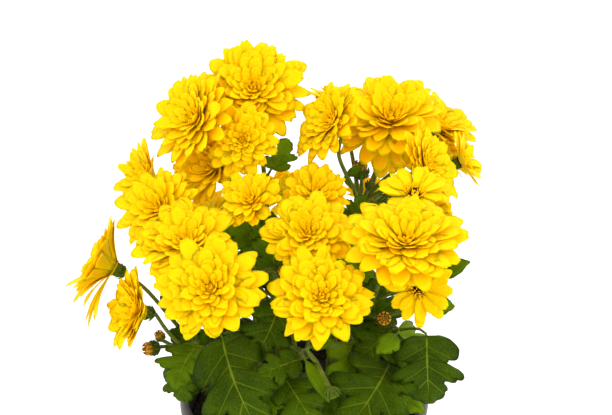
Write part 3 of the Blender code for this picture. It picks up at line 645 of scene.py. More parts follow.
@dataclass(frozen=True)
class SoilFinish(Finish):
    """Moist peat, crumbled moss with fibres in it: open and wet, so almost black and with no gloss."""

    dark: str = "#0E0A06"
    brown: str = "#2A2016"
    crumb_mm: float = 2.381
    fibre_mm: float = 1.111
    crumb_deep_mm: float = 1.2

    def paint(self, tree: bpy.types.NodeTree, shader: bpy.types.Node) -> None:
        """Crumbs of two millimetres in two tones, and their relief.

        Args:
            tree: the material's nodes.
            shader: its surface.
        """
        spot = add_node(tree, "ShaderNodeTexCoord").outputs["Object"]
        crumbs = add_node(tree, CELLS, {"Vector": spot, "Scale": per_metre(self.crumb_mm)})
        fibres = add_node(tree, NOISE, {"Vector": spot, "Scale": per_metre(self.fibre_mm), "Detail": 5.0})
        both = add_node(tree, MATH, {0: crumbs.outputs["Distance"], 1: fibres.outputs["Fac"]}, operation="MULTIPLY")
        colour = add_node(tree, RAMP, {0: both.outputs[0]}, stops=((0.08, self.dark), (0.42, self.brown))).outputs[0]
        tree.links.new(colour, shader.inputs["Base Color"])
        height = {"Height": both.outputs[0], "Distance": self.crumb_deep_mm * MM, "Strength": 0.8}
        relief = add_node(tree, BUMP, height)
        tree.links.new(relief.outputs[0], shader.inputs["Normal"])


@dataclass(frozen=True)
class FloorFinish(Finish):
    """White matt studio paper, uncoated, so that it gives back light evenly."""

    white: str = "#F7F7F7"

    def paint(self, tree: bpy.types.NodeTree, shader: bpy.types.Node) -> None:
        """A plain near-white."""
        shader.inputs["Base Color"].default_value = linear(self.white)


# Name, roughness and index of refraction: wet petal tissue 1.4, leaves and stems 1.42, polypropylene 1.49
PETAL = PetalFinish(
    "ray floret tissue", 0.6, 1.4, glow=0.7, glow_depth_mm=0.7, glow_tint=(1.0, 0.8, 0.04), mirror=0.06
)
BUD_PETAL = PetalFinish(
    "closed floret tissue",
    0.6,
    1.4,
    base="#5A3A06",
    middle="#A4740A",
    tip="#CC9C10",
    shade="#86560A",
    glow=0.2,
    mirror=0.2,
)
LEAF = LeafFinish("chrysanthemum leaf", 0.5, 1.42, mirror=0.05)
CUP = StemFinish("bract green", 0.65, 1.42, sheen=0.06, green="#344A04", pale="#62761A", mirror=0.08)
STEM = StemFinish("downy green stem", 0.7, 1.42, sheen=0.03, mirror=0.08)
DOWN = DownFinish("plant down", 0.8, 1.5, mirror=0.1)
POT = PotFinish("moulded grey polypropylene", 0.55, 1.49)
SOIL = SoilFinish("moist peat", 0.95, 1.4)
PAPER = FloorFinish("white studio paper", 0.9, 1.45)


# --------------------------------------------------------------------------- blooms

# The frame's bloom: its root's share of the diameter, and the step from one layer to the next
ROOT_SHARE = 0.19
SMALLEST_ROOT = 3.2
LAYER_RISE = 1.7
LAYER_INSET = 0.17
LAYER_THICKNESS = 1.3
# The frame's petal rim: how deep it is cut, where its shoulders are, and what chance does to it
NOTCH = 0.52
SHOULDER = 0.25
SHORT_SHOULDER = 0.97
LENGTH_SPREAD = 0.07
PITCH_SPREAD = 4.0
# Blooms nearer than this are cut back to a plane, tried in this many ways, with this gap on each side of it
NEIGHBOUR_DISTANCE = 75.0
SEPARATION_WAYS = 400
GAP = 0.3
SHORTEST_PETAL = 1.2
# Lengths of the green cup's two rings below a bloom
CALYX_LENGTHS = (3.0, 3.5)
BLOOM_SEED = 11
# The least rise towards a plane by which a petal's room before it is reckoned
FLAT_ON = 0.05


class Form(Enum):
    """How a bloom is filled and how its outer petals stand."""

    DOUBLE = "double"
    SKIRTED = "skirted"
    BROAD = "broad"
    CUPPED = "cupped"
    SMALL = "small"
    SINGLE = "single"


# The frame's layers, from the outside in: petals, pitch above the face, share of the length
FRAME_LAYERS = {
    Form.DOUBLE: ((12, 4, 1.0), (10, 20, 0.88), (7, 38, 0.68), (5, 60, 0.42)),
    Form.SKIRTED: ((12, -24, 1.0), (11, -2, 0.92), (9, 20, 0.74), (5, 50, 0.46)),
    Form.BROAD: ((12, -8, 1.0), (10, 12, 0.90), (8, 32, 0.70), (5, 56, 0.44)),
    Form.CUPPED: ((12, 28, 1.0), (10, 44, 0.86), (7, 62, 0.56)),
    Form.SMALL: ((10, 8, 1.0), (8, 28, 0.80), (5, 55, 0.46)),
    Form.SINGLE: ((12, 4, 1.0), (9, 20, 0.74)),
}


@dataclass(frozen=True)
class PetalChance:
    """What chance does to each petal of a ring: degrees, or shares of the ring's usual size."""

    place: float = 0.34
    heading: float = 5.0
    pitch: float = 5.0
    curl: float = 11.0
    roll: float = 8.0
    longer: tuple[float, float] = (-0.13, 0.07)
    wider: tuple[float, float] = (-0.16, 0.12)
    tint: tuple[float, float] = (0.0, 0.4)
    cleft_odds: float = 0.4
    cleft: tuple[float, float] = (0.02, 0.08)
    pointed_odds: float = 0.2
    pointed: float = 0.25
    blunt: tuple[float, float] = (0.42, 0.70)


CHANCE = PetalChance()
# A loose petal's width, as a share of the frame's length, and its bend
LOOSE_WIDTH = 0.42
LOOSE_CURL = -26.0
# How far a petal may pass the plane between two blooms, where real ones press together
OVERLAP = 1.2


@dataclass(frozen=True)
class PetalLayer:
    """One ring of real petals.

    Pitch is the chord's rise over the face, and curl the bend from root to tip, in degrees. Length and
    width are shares of the frame's length. Root is a share of the frame's root radius, height in
    millimetres.
    """

    petals: int
    pitch: float
    length: float
    width: float
    curl: float
    root: float
    height: float


# Rings from the outside in: petals, pitch, length, width, curl, root, height
FINE_LAYERS = {
    Form.DOUBLE: (
        PetalLayer(13, 9, 1.00, 0.46, -30, 1.00, 0.0),
        PetalLayer(12, 13, 0.96, 0.45, -28, 0.96, 0.5),
        PetalLayer(13, 20, 0.84, 0.43, -20, 0.90, 1.1),
        PetalLayer(12, 26, 0.72, 0.40, -12, 0.82, 1.7),
        PetalLayer(11, 34, 0.60, 0.35, -4, 0.72, 2.3),
        PetalLayer(10, 43, 0.47, 0.28, 6, 0.62, 2.7),
        PetalLayer(8, 52, 0.34, 0.18, 14, 0.52, 3.0),
        PetalLayer(8, 46, 0.25, 0.10, -10, 0.60, 3.0),
        PetalLayer(7, 68, 0.25, 0.14, 56, 0.34, 3.0),
        PetalLayer(3, 82, 0.16, 0.10, 20, 0.10, 3.4),
    ),
    Form.SKIRTED: (
        PetalLayer(12, -16, 1.00, 0.44, -36, 1.00, 0.0),
        PetalLayer(13, 0, 0.98, 0.44, -34, 0.96, 0.6),
        PetalLayer(13, 13, 0.94, 0.43, -24, 0.92, 1.2),
        PetalLayer(12, 24, 0.83, 0.41, -10, 0.84, 1.9),
        PetalLayer(10, 36, 0.69, 0.37, 4, 0.74, 2.5),
        PetalLayer(9, 48, 0.52, 0.30, 16, 0.62, 3.0),
        PetalLayer(8, 58, 0.37, 0.20, 24, 0.50, 3.4),
        PetalLayer(7, 68, 0.25, 0.15, 56, 0.34, 3.2),
        PetalLayer(3, 82, 0.16, 0.10, 20, 0.10, 3.6),
    ),
    Form.BROAD: (
        PetalLayer(14, 2, 1.00, 0.43, -30, 1.00, 0.0),
        PetalLayer(13, 9, 0.96, 0.43, -26, 0.95, 0.6),
        PetalLayer(13, 16, 0.85, 0.41, -18, 0.88, 1.2),
        PetalLayer(13, 23, 0.74, 0.38, -10, 0.80, 1.8),
        PetalLayer(12, 31, 0.62, 0.34, -2, 0.70, 2.4),
        PetalLayer(10, 40, 0.49, 0.27, 8, 0.60, 2.9),
        PetalLayer(9, 50, 0.35, 0.17, 14, 0.52, 3.2),
        PetalLayer(7, 68, 0.22, 0.12, 50, 0.34, 3.2),
        PetalLayer(3, 82, 0.14, 0.09, 20, 0.10, 3.6),
    ),
    Form.CUPPED: (
        PetalLayer(12, 20, 1.00, 0.45, -30, 1.00, 0.0),
        PetalLayer(12, 27, 0.98, 0.44, -20, 0.92, 0.7),
        PetalLayer(11, 37, 0.88, 0.41, -6, 0.84, 1.4),
        PetalLayer(9, 48, 0.72, 0.36, 6, 0.70, 2.1),
        PetalLayer(8, 58, 0.54, 0.28, 18, 0.56, 2.7),
        PetalLayer(6, 70, 0.38, 0.20, 40, 0.36, 2.9),
        PetalLayer(4, 80, 0.26, 0.14, 20, 0.14, 3.0),
    ),
    Form.SMALL: (
        PetalLayer(12, 12, 1.00, 0.47, -30, 1.00, 0.0),
        PetalLayer(11, 21, 0.95, 0.45, -18, 0.94, 0.7),
        PetalLayer(10, 33, 0.82, 0.42, -4, 0.84, 1.4),
        PetalLayer(8, 46, 0.62, 0.35, 12, 0.70, 2.1),
        PetalLayer(8, 54, 0.42, 0.20, 16, 0.60, 2.6),
        PetalLayer(6, 70, 0.32, 0.18, 50, 0.34, 2.8),
        PetalLayer(3, 82, 0.20, 0.12, 20, 0.10, 3.0),
    ),
    Form.SINGLE: (
        PetalLayer(12, 6, 1.00, 0.48, -20, 1.12, 0.0),
        PetalLayer(10, 15, 0.90, 0.45, -10, 1.08, 0.7),
        PetalLayer(13, 44, 0.27, 0.10, 20, 1.02, 1.4),
        PetalLayer(11, 62, 0.25, 0.10, 34, 0.80, 1.9),
        PetalLayer(8, 74, 0.22, 0.10, 40, 0.54, 2.1),
        PetalLayer(5, 80, 0.17, 0.09, 20, 0.30, 2.2),
    ),
}


@dataclass(frozen=True)
class Habit:
    """How one bloom differs from its form: longer or steeper petals, another filling, and single loose petals.

    A loose petal is its azimuth in the face, its pitch, and its share of the frame's length.
    """

    reach: float = 1.08
    steeper: float = 0.0
    form: Form | None = None
    loose: tuple[tuple[float, float, float], ...] = ()


HABITS = {
    "bloom_top_left": Habit(
        reach=1.14,
        steeper=3,
        loose=((314, 0, 1.2), (300, -4, 1.15), (328, 4, 1.15), (172, 4, 1.22), (190, 0, 1.24), (208, 0, 1.2)),
    ),
    "bloom_upper_left": Habit(reach=1.14, steeper=9, loose=((20, 10, 1.3), (40, 12, 1.3), (0, 8, 1.25))),
    "bloom_far_left": Habit(reach=1.42, steeper=16, form=Form.CUPPED),
    "bloom_left": Habit(
        steeper=2, loose=((196, 6, 1.45), (180, 8, 1.3), (212, 2, 1.35), (18, 4, 1.35), (34, 8, 1.25), (75, 12, 1.2))
    ),
    "bloom_left_middle": Habit(reach=1.28, loose=((180, 10, 1.35), (160, 14, 1.3), (200, 8, 1.3))),
    "bloom_inner_left": Habit(loose=((167, 10, 1.35), (150, 12, 1.4), (182, 8, 1.2))),
    "bloom_low_left": Habit(reach=1.10, steeper=17),
    "bloom_hanging_left": Habit(
        reach=1.14,
        form=Form.DOUBLE,
        steeper=20,
        loose=((345, -6, 1.45), (328, -4, 1.4), (310, 0, 1.3), (255, 15, 1.4), (270, 8, 1.35), (240, 20, 1.3)),
    ),
    "bloom_front_right": Habit(reach=1.03, steeper=7, loose=((256, -10, 0.86), (277, -4, 0.80))),
    "bloom_low_right": Habit(reach=1.12, steeper=2),
    "bloom_top_right": Habit(loose=((240, -30, 1.0), (254, -46, 1.08), (268, -50, 1.0), (282, -48, 0.95))),
    "bloom_upper_right": Habit(reach=1.14, steeper=4, loose=((255, 2, 1.4), (270, 0, 1.3), (240, 6, 1.25))),
    "bloom_behind_right": Habit(
        reach=1.12, steeper=2, loose=((350, 34, 1.26), (6, 40, 1.33), (22, 46, 1.26), (330, 30, 1.17), (38, 50, 1.2))
    ),
    "bloom_right_rear": Habit(reach=1.32, steeper=6),
    "bloom_right": Habit(reach=1.12, steeper=4, loose=((278, 8, 1.35), (292, 4, 1.3), (262, 6, 1.2))),
    "bloom_far_right": Habit(reach=1.2, steeper=14),
    "bloom_inner_right": Habit(reach=1.10),
}

# Blooms: eye, facing, diameter and form, in the frame's order
BLOOMS = (
    ("bloom_top_left", (-25, 28, 276), (-0.05, -0.57, 0.82), 52, Form.DOUBLE),
    ("bloom_upper_middle", (-30, 0, 261), (-0.10, -0.80, 0.60), 37, Form.DOUBLE),
    ("bloom_upper_left", (-56, 15, 266), (-0.64, -0.42, 0.64), 48, Form.DOUBLE),
    ("bloom_far_left", (-79, 14, 232), (-0.80, -0.26, 0.54), 34, Form.SMALL),
    ("bloom_left", (-71, -18, 234), (-0.45, -0.55, 0.70), 40, Form.SMALL),
    ("bloom_left_middle", (-46, 6, 243), (-0.60, -0.52, 0.61), 36, Form.CUPPED),
    ("bloom_inner_left", (-26, -26, 244), (-0.30, -0.40, 0.86), 32, Form.SMALL),
    ("bloom_front_left_upper", (-55, -46, 234), (-0.15, -0.34, 0.93), 51, Form.DOUBLE),
    ("bloom_front_left", (-42, -85, 232), (-0.15, -0.64, 0.75), 50, Form.DOUBLE),
    ("bloom_low_left", (-84, -38, 188), (-0.85, -0.35, 0.39), 43, Form.DOUBLE),
    ("bloom_hanging_left", (-99, -5, 194), (-0.88, 0.13, 0.46), 46, Form.CUPPED),
    ("bloom_inner_middle", (6, -13, 240), (0.10, -0.50, 0.86), 33, Form.SMALL),
    ("bloom_front_middle_upper", (2, -46, 238), (0.00, -0.50, 0.87), 47, Form.DOUBLE),
    ("bloom_front_middle", (8, -87, 229), (0.00, -0.64, 0.77), 48, Form.DOUBLE),
    ("bloom_front_right", (46, -66, 247), (0.03, -0.30, 0.95), 57, Form.BROAD),
    ("bloom_low_right", (53, -64, 217), (0.10, -0.80, 0.57), 32, Form.SINGLE),
    ("bloom_top_right", (43, 30, 260), (0.05, -0.30, 0.95), 53, Form.SKIRTED),
    ("bloom_upper_right", (10, 8, 268), (-0.65, -0.40, 0.65), 39, Form.DOUBLE),
    ("bloom_behind_right", (21, 64, 251), (-0.10, 0.30, 0.95), 40, Form.SMALL),
    ("bloom_right_rear", (71, 54, 244), (0.50, -0.05, 0.86), 44, Form.DOUBLE),
    ("bloom_right", (63, 0, 248), (0.73, -0.35, 0.59), 40, Form.DOUBLE),
    ("bloom_far_right", (82, 30, 234), (0.85, -0.10, 0.50), 30, Form.SINGLE),
    ("bloom_inner_right", (52, -26, 248), (0.05, -0.30, 0.95), 33, Form.SINGLE),
    ("bloom_back_top", (-25, 62, 252), (-0.10, 0.60, 0.79), 44, Form.DOUBLE),
    ("bloom_back_left_top", (-58, 48, 240), (-0.60, 0.50, 0.62), 38, Form.SMALL),
    ("bloom_back_right_top", (46, 74, 234), (0.25, 0.65, 0.70), 38, Form.SMALL),
    ("bloom_back_right", (76, 66, 220), (0.70, 0.50, 0.50), 34, Form.SMALL),
    ("bloom_back_low", (-10, 90, 182), (-0.05, 0.90, 0.43), 40, Form.SMALL),
    ("bloom_back_low_left", (-54, 74, 178), (-0.50, 0.75, 0.43), 38, Form.SMALL),
    ("bloom_back_low_right", (40, 84, 182), (0.35, 0.85, 0.40), 36, Form.SMALL),
    ("bloom_back_side_right", (72, 56, 188), (0.70, 0.60, 0.38), 34, Form.SMALL),
    ("bloom_back_side_left", (-82, 44, 192), (-0.80, 0.45, 0.40), 36, Form.SMALL),
)


@dataclass
class PetalSheet:
    """The shape that every petal, floret and bract shares, before its own length, width and curl.

    Thickness is in millimetres. Claw and blunt are shares of the full width at the root and the tip.
    Fullest is where it is widest, and tip_start where the tip begins, as shares of the length. Channel
    lifts the edges, crowd sets rows closer to the tip, and least_curl stands for none.
    """

    rows: int = 8
    columns: int = 5
    thickness: float = 0.34
    claw: float = 0.36
    fullest: float = 0.62
    blunt: float = 0.55
    tip_round: float = 0.13
    channel: float = 0.18
    crowd: float = 0.92
    taper: float = 0.96
    tip_start: float = 0.55
    cleft_width: float = 0.22
    least_curl: float = 0.5

    def build(
        self,
        heap: Heap,
        root: np.ndarray,
        out: np.ndarray,
        rise: np.ndarray,
        length: np.ndarray | float,
        width: np.ndarray | float,
        pitch: np.ndarray | float,
        curl: np.ndarray | float,
        roll: np.ndarray | float = 0.0,
        tone: np.ndarray | float = 0.0,
        depth: float = 0.0,
        notch: np.ndarray | float = 0.0,
        blunt: np.ndarray | None = None,
    ) -> None:
        """Adds many petals at once.

        A petal's middle line is an arc: its slope at share u of its length is pitch + curl (u - 1/2), and
        its place is the integral of that direction. At u, a point v half widths out from the line lies
        v w(u) along the side direction, raised by channel w v^2. w(u) grows from the claw to the fullest
        share, then falls as an ellipse to the blunt tip, whose ends are drawn back by v^2. The lower sheet
        is the upper one moved down by the thickness, and shares its border.

        Args:
            heap: where the surface goes.
            root: where each petal starts.
            out: each petal's outward direction.
            rise: the upward direction that all share.
            length: lengths along the arc.
            width: full widths.
            pitch: slopes of the chord, degrees.
            curl: change of slope from root to tip, degrees.
            roll: turn about the petal's own line, degrees.
            tone: random tint of each petal.
            depth: how far inside the bloom all of them stand, 0 to 1.
            notch: depth of the cleft in the tip, as a share of the length.
            blunt: how broad each tip is, or None for the sheet's own.
        """
        count = len(root)
        rise = np.broadcast_to(rise, (count, 3))
        blunt = self.blunt if blunt is None else blunt
        each_own = (length, width, pitch, curl, roll, tone, notch, blunt)
        length, width, pitch, curl, roll, tone, notch, blunt = (
            np.broadcast_to(np.asarray(value, float), count) for value in each_own
        )
        u = np.linspace(0, 1, self.rows) ** self.crowd
        v = np.linspace(-1, 1, self.columns)
        grow = self.claw + (1 - self.claw) * smooth_step(u, 0, self.fullest)
        past = np.clip((u - self.fullest) / (1 - self.fullest), 0, 1) * self.taper
        fall = np.sqrt(np.clip(1 - past**2, 0, 1))
        half = width[:, None] / 2 * grow * (blunt[:, None] + (1 - blunt[:, None]) * fall)
        start = np.radians(pitch - curl / 2)[:, None]
        bend = np.radians(np.where(np.abs(curl) < self.least_curl, self.least_curl, curl))[:, None]
        slope = start + bend * u[None]
        ahead = (np.sin(slope) - np.sin(start)) / bend * length[:, None]
        above = -(np.cos(slope) - np.cos(start)) / bend * length[:, None]
        side = np.cross(rise, out)
        line = root[:, None] + out[:, None] * ahead[..., None] + rise[:, None] * above[..., None]
        way = out[:, None] * np.cos(slope)[..., None] + rise[:, None] * np.sin(slope)[..., None]
        up = rise[:, None] * np.cos(slope)[..., None] - out[:, None] * np.sin(slope)[..., None]
        turn = np.radians(roll)[:, None, None]
        across = side[:, None] * np.cos(turn) + up * np.sin(turn)
        up = up * np.cos(turn) - side[:, None] * np.sin(turn)
        tip = smooth_step(u, self.tip_start, 1.0)[None, :, None]
        long = length[:, None, None]
        back = -tip * (self.tip_round * v**2)[None, None] * long
        back = back - tip**3 * (notch[:, None, None] * np.exp(-((v / self.cleft_width) ** 2))[None, None]) * long
        lift = self.channel * half[..., None] * (v**2)[None, None] * (1 - 0.5 * tip)
        points = (
            line[:, :, None]
            + across[:, :, None] * (half[..., None] * v)[..., None]
            + way[:, :, None] * back[..., None]
            + up[:, :, None] * lift[..., None]
        )
        faces, inner = lens_faces(self.rows, self.columns)
        flat = points.reshape(count, -1, 3)
        below = flat[:, inner] - (up[:, :, None] + 0 * points).reshape(count, -1, 3)[:, inner] * self.thickness
        whole = np.concatenate([flat, below], axis=1)
        each = whole.shape[1]
        uv = np.stack(np.broadcast_arrays((v + 1) / 2, u[:, None]), axis=-1).reshape(-1, 2)
        uv = np.vstack([uv, uv[inner]])
        numbers = faces[None] + (np.arange(count) * each)[:, None, None]
        heap.add(
            whole.reshape(-1, 3),
            numbers.reshape(-1, 4),
            np.tile(uv, (count, 1)),
            np.repeat(tone, each),
            depth,
        )


@dataclass
class Rim:
    """The edge of one of the frame's layers, by rim point, with the layer's height and root radius."""

    angle: np.ndarray
    length: np.ndarray
    pitch: np.ndarray
    height: float
    root: float


@dataclass
class Bloom:
    """One bloom: its axes and petal rims as in the frame, and its fine petals."""

    name: str
    eye: Vec
    facing: Vec
    diameter: float
    form: Form
    seed: int
    planes: list[tuple[np.ndarray, float]] = field(default_factory=list)

    def __post_init__(self) -> None:
        """Works out the axes and the frame's rims."""
        rng = np.random.default_rng((BLOOM_SEED, self.seed))
        self.normal = unit(self.facing)
        self.side = unit(np.cross((0.0, 0.0, 1.0), self.normal))
        self.up = np.cross(self.normal, self.side)
        self.root = max(self.diameter * ROOT_SHARE / 2, SMALLEST_ROOT)
        layers = FRAME_LAYERS[self.form]
        self.top = LAYER_RISE * len(layers)
        self.origin = np.asarray(self.eye, float) - self.normal * self.top
        self.length = (self.diameter / 2 - self.root) / math.cos(math.radians(layers[0][1]))
        self.rims = [self.rim(index, layer, rng) for index, layer in enumerate(layers)]

    def rim(self, index: int, layer: tuple[int, float, float], rng: np.random.Generator) -> Rim:
        """Angle, length and pitch round one of the frame's layers: a notch and two shoulders for each petal.

        Args:
            index: the layer's number from the outside.
            layer: its petals, pitch and share of the length.
            rng: the bloom's random numbers, drawn in the frame's order.

        Returns:
            The rim, whole, before any neighbour cuts it back.
        """
        petals, pitch, share = layer
        step = 360 / petals
        turn = rng.uniform(0, step)
        length = self.length * share
        rows = []
        for k in range(petals):
            middle = turn + k * step
            own = length * (1 + rng.uniform(-LENGTH_SPREAD, LENGTH_SPREAD))
            own_pitch = pitch + rng.uniform(-PITCH_SPREAD, PITCH_SPREAD)
            rows.append((middle - step / 2, length * NOTCH, pitch))
            rows.append((middle - step * SHOULDER, own * SHORT_SHOULDER, own_pitch))
            rows.append((middle + step * SHOULDER, own, own_pitch))
        angle, reach, slope = np.array(rows).T
        return Rim(angle, reach, slope, LAYER_RISE * index, self.root * (1.0 - LAYER_INSET * index))

    def ray(self, rim: Rim) -> tuple[np.ndarray, np.ndarray]:
        """Root and direction of each rim point, as arrays in space.

        Args:
            rim: one layer's rim.

        Returns:
            Rows of root points and rows of unit directions.
        """
        pitch = np.radians(rim.pitch)[:, None]
        out = turned(self.side, self.up, rim.angle)
        root = self.origin + out * rim.root + self.normal * rim.height
        return root, out * np.cos(pitch) + self.normal * np.sin(pitch)

    def petals(self) -> np.ndarray:
        """All rim points in space."""
        rays = [(self.ray(rim), rim.length) for rim in self.rims]
        return np.vstack([root + way * length[:, None] for (root, way), length in rays])

    def heart(self) -> np.ndarray:
        """The bloom's middle and cup, which are never cut back.

        Returns:
            Rows of points.
        """
        ring = self.origin + turned(self.side, self.up, np.arange(0, 360, 60)) * self.root
        axis = [self.origin + self.normal * h for h in (-1.0 - sum(CALYX_LENGTHS), self.top + 1.0)]
        return np.vstack([ring, axis])

    def cut_back(self, way: np.ndarray, limit: float) -> None:
        """Draws petals in along their own line until none passes the plane, and keeps the plane.

        Args:
            way: the plane's direction, away from the bloom.
            limit: how far along it the plane lies.
        """
        self.planes.append((way, limit))
        for rim in self.rims:
            root, ray = self.ray(rim)
            reach = ray @ way
            past = (root + ray * rim.length[:, None]) @ way > limit
            room = (limit - root @ way)[past] / np.maximum(reach[past], FLAT_ON)
            rim.length[past] = np.clip(room, SHORTEST_PETAL, rim.length[past])

    def holds(self, points: np.ndarray, margin: float) -> bool:
        """Whether any point lies within the space of the bloom's petals.

        Args:
            points: rows of points.
            margin: millimetres to keep clear of the petals.

        Returns:
            True if one does.
        """
        offset = points - self.origin
        height = offset @ self.normal
        radius = np.linalg.norm(offset - height[:, None] * self.normal, axis=1)
        pitch = math.radians(FRAME_LAYERS[self.form][0][1] - PITCH_SPREAD)
        floor = np.minimum((radius - self.root) * math.tan(pitch), 0.0 if pitch < 0 else 99.0)
        reach = self.root + self.length * math.cos(pitch) + margin
        inside = (radius < reach) & (height > floor - 1.5 - margin) & (height < self.top + 9)
        return bool(inside.any())

    def fine_petals(self, heap: Heap, sheet: PetalSheet) -> None:
        """Adds all petals, layer by layer, each drawn in where a neighbouring bloom begins.

        Args:
            heap: where they go.
            sheet: the shape that they share.
        """
        rng = np.random.default_rng((BLOOM_SEED, self.seed, 5))
        habit = HABITS.get(self.name, Habit())
        layers = FINE_LAYERS[habit.form or self.form]
        for index, layer in enumerate(layers):
            count = layer.petals
            share = index / (len(layers) - 1)
            start = rng.uniform(0, 360)
            turn = start + (np.arange(count) + rng.uniform(-CHANCE.place, CHANCE.place, count)) * 360 / count
            # Outer rings take most of the habit and of the chance
            pitch = layer.pitch + habit.steeper * (1 - share) + rng.normal(0, CHANCE.pitch, count) * (1 - 0.5 * share)
            length = self.length * layer.length * (1 + (habit.reach - 1) * (1 - share))
            length = length * (1 + rng.uniform(*CHANCE.longer, count))
            curl = layer.curl + rng.normal(0, CHANCE.curl, count)
            self.lay(heap, sheet, rng, turn, pitch, length, self.length * layer.width, curl, layer, share)
        if habit.loose:
            turn, pitch, length = np.array(habit.loose, float).T
            length = self.length * length
            width = self.length * LOOSE_WIDTH
            # Loose petals lie over the neighbours, so no plane holds them back
            self.planes.clear()
            self.lay(heap, sheet, rng, turn, pitch, length, width, LOOSE_CURL, layers[0], 0.0)

    def lay(
        self,
        heap: Heap,
        sheet: PetalSheet,
        rng: np.random.Generator,
        turn: np.ndarray,
        pitch: np.ndarray,
        length: np.ndarray,
        width: float,
        curl: np.ndarray | float,
        layer: PetalLayer,
        share: float,
    ) -> None:
        """Lays one ring of petals.

        Args:
            heap: where they go.
            sheet: their common shape.
            rng: the bloom's own random numbers.
            turn: azimuth of each petal in the bloom's face, degrees.
            pitch: rise of each chord over the face, degrees.
            length: each length.
            width: the ring's usual width.
            curl: bend of each or of all, degrees.
            layer: the ring, for where its petals start.
            share: 0 for the outermost ring, 1 for the innermost.
        """
        count = len(turn)
        spoke = turned(self.side, self.up, turn)
        root = self.origin + spoke * self.root * layer.root * 0.9 + self.normal * (layer.height - 0.2)
        out = turned(self.side, self.up, turn + rng.normal(0, CHANCE.heading, count))
        slope = np.radians(pitch)[:, None]
        way = out * np.cos(slope) + self.normal * np.sin(slope)
        for plane, limit in self.planes:
            far = limit + OVERLAP
            room = np.maximum((far - root @ plane) / np.maximum(way @ plane, FLAT_ON), 2.0)
            length = np.where((root + way * length[:, None]) @ plane > far, np.minimum(room, length), length)
        # The draws are made in this order: width, roll, tint, cleft, tip
        width = width * (1 + rng.uniform(*CHANCE.wider, count))
        roll = rng.normal(0, CHANCE.roll, count)
        tone = rng.uniform(*CHANCE.tint, count) * (0.5 + 0.5 * share)
        # How far each ring's petal bases are painted towards the dark brown eye, rising to the centre: partly the
        # centre's own colour, partly painted shade; less for single blooms
        depth = (0.04 + 0.96 * share**2) * (0.55 if self.form is Form.SINGLE else 1.0)
        cleft = np.where(rng.uniform(0, 1, count) < CHANCE.cleft_odds, rng.uniform(*CHANCE.cleft, count), 0.0)
        pointed = rng.uniform(0, 1, count) < CHANCE.pointed_odds
        blunt = np.where(pointed, CHANCE.pointed, rng.uniform(*CHANCE.blunt, count))
        sheet.build(heap, root, out, self.normal, length, width, pitch, curl, roll, tone, depth, cleft, blunt)

    def core(self, heap: Heap) -> None:
        """The receptacle under the petals, a small dome that is dark between them: partly the centre's own dark brown,
        partly painted shade that fills the gaps at the bloom's heart.

        Its radius at share h of its height is 0.98 root times the square root of 1 - h^2.2.

        Args:
            heap: where it goes.
        """
        shares = np.linspace(0, 1, 7)
        foot, height, wide, thinnest = -0.9, 4.6, 0.98 * self.root, 0.05
        radii = wide * np.sqrt(np.clip(1 - shares**2.2, 0.0, 1))
        line = self.origin + self.normal * (foot + shares * height)[:, None]
        points, faces, uvs = swept_tube(line, np.maximum(radii, thinnest), 12)
        # Painted fully with the dark eye colour for single blooms and partly for the others: the centre's own brown and
        # painted shade
        heap.add(points, faces, np.zeros_like(uvs), 0.2, 1.0 if self.form is Form.SINGLE else 0.4)

    def build(self, finish: bpy.types.Material) -> bpy.types.Object:
        """The finished bloom, which stands for its plain solid.

        Args:
            finish: the petals' material.

        Returns:
            The piece.
        """
        heap = Heap()
        self.fine_petals(heap, PetalSheet())
        self.core(heap)
        piece = heap.piece(self.name + "_petals", finish)
        return attach(piece, "petal_yellow", self.name)


def attach(piece: bpy.types.Object, slot: str, *nodes: str) -> bpy.types.Object:
    """Makes a piece ride on the frame and stand for its nodes.

    Args:
        piece: the new piece.
        slot: the frame's material slot; not used.
        *nodes: the frame's nodes that it replaces.

    Returns:
        The piece.
    """
    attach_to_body(piece, "root")
    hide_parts(*nodes)
    return piece


def part_blooms(blooms: list[Bloom]) -> None:
    """Cuts neighbouring blooms back to the plane that lies best between them, as in the frame.

    Args:
        blooms: all blooms, in the frame's order.
    """
    ways = spread_directions(SEPARATION_WAYS)
    for i, first in enumerate(blooms):
        for second in blooms[i + 1 :]:
            if np.linalg.norm(first.origin - second.origin) > NEIGHBOUR_DISTANCE:
                continue
            all_first = np.vstack([first.petals(), first.heart()]) @ ways.T
            all_second = np.vstack([second.petals(), second.heart()]) @ ways.T
            between = all_second.min(axis=0) - all_first.max(axis=0)
            heart_first = (first.heart() @ ways.T).max(axis=0)
            heart_second = (second.heart() @ ways.T).min(axis=0)
            free = heart_second - heart_first
            best = int(np.argmax(np.where(free > 2.0, between, between - 100)))
            if between[best] >= 2 * GAP:
                continue
            middle = (all_second.min(axis=0) + all_first.max(axis=0))[best] / 2
            middle = min(max(middle, heart_first[best] + 1.0), heart_second[best] - 1.0)
            first.cut_back(ways[best], middle - GAP)
            second.cut_back(-ways[best], -(middle + GAP))


# --------------------------------------------------------------------------- plants

# The wedge of the pot that each plant keeps to, and where its main stem stands: azimuths in degrees
PLANTS = {
    "plant_left": (167, 214, 193),
    "plant_front": (214, 303, 262),
    "plant_right": (303, 378, 338),
    "plant_back_right": (18, 84, 52),
    "plant_back_left": (84, 167, 128),
}
# Points that a stalk passes on its way up, where the photograph shows it or others stand in its way
STALK_WAYS = {
    "bloom_upper_left": ((-36, 34, 212), (-44, 33, 242)),
    "bloom_far_left": ((-56, -4, 212),),
    "bloom_low_left": ((-48, -24, 149), (-63, -28, 163)),
    "bloom_hanging_left": ((-76, -12, 180),),
    "bloom_front_right": ((38, -44, 214), (43, -53, 226)),
    "bloom_upper_right": ((25, 12, 226), (17, 9, 246)),
}
# How far a stalk rises before it turns, and how long it runs straight into its bloom: shares of its span
STALK_BENDS = ((0.35, 0.35), (0.2, 0.3), (0.5, 0.3), (0.3, 0.15), (0.1, 0.5), (0.6, 0.5))
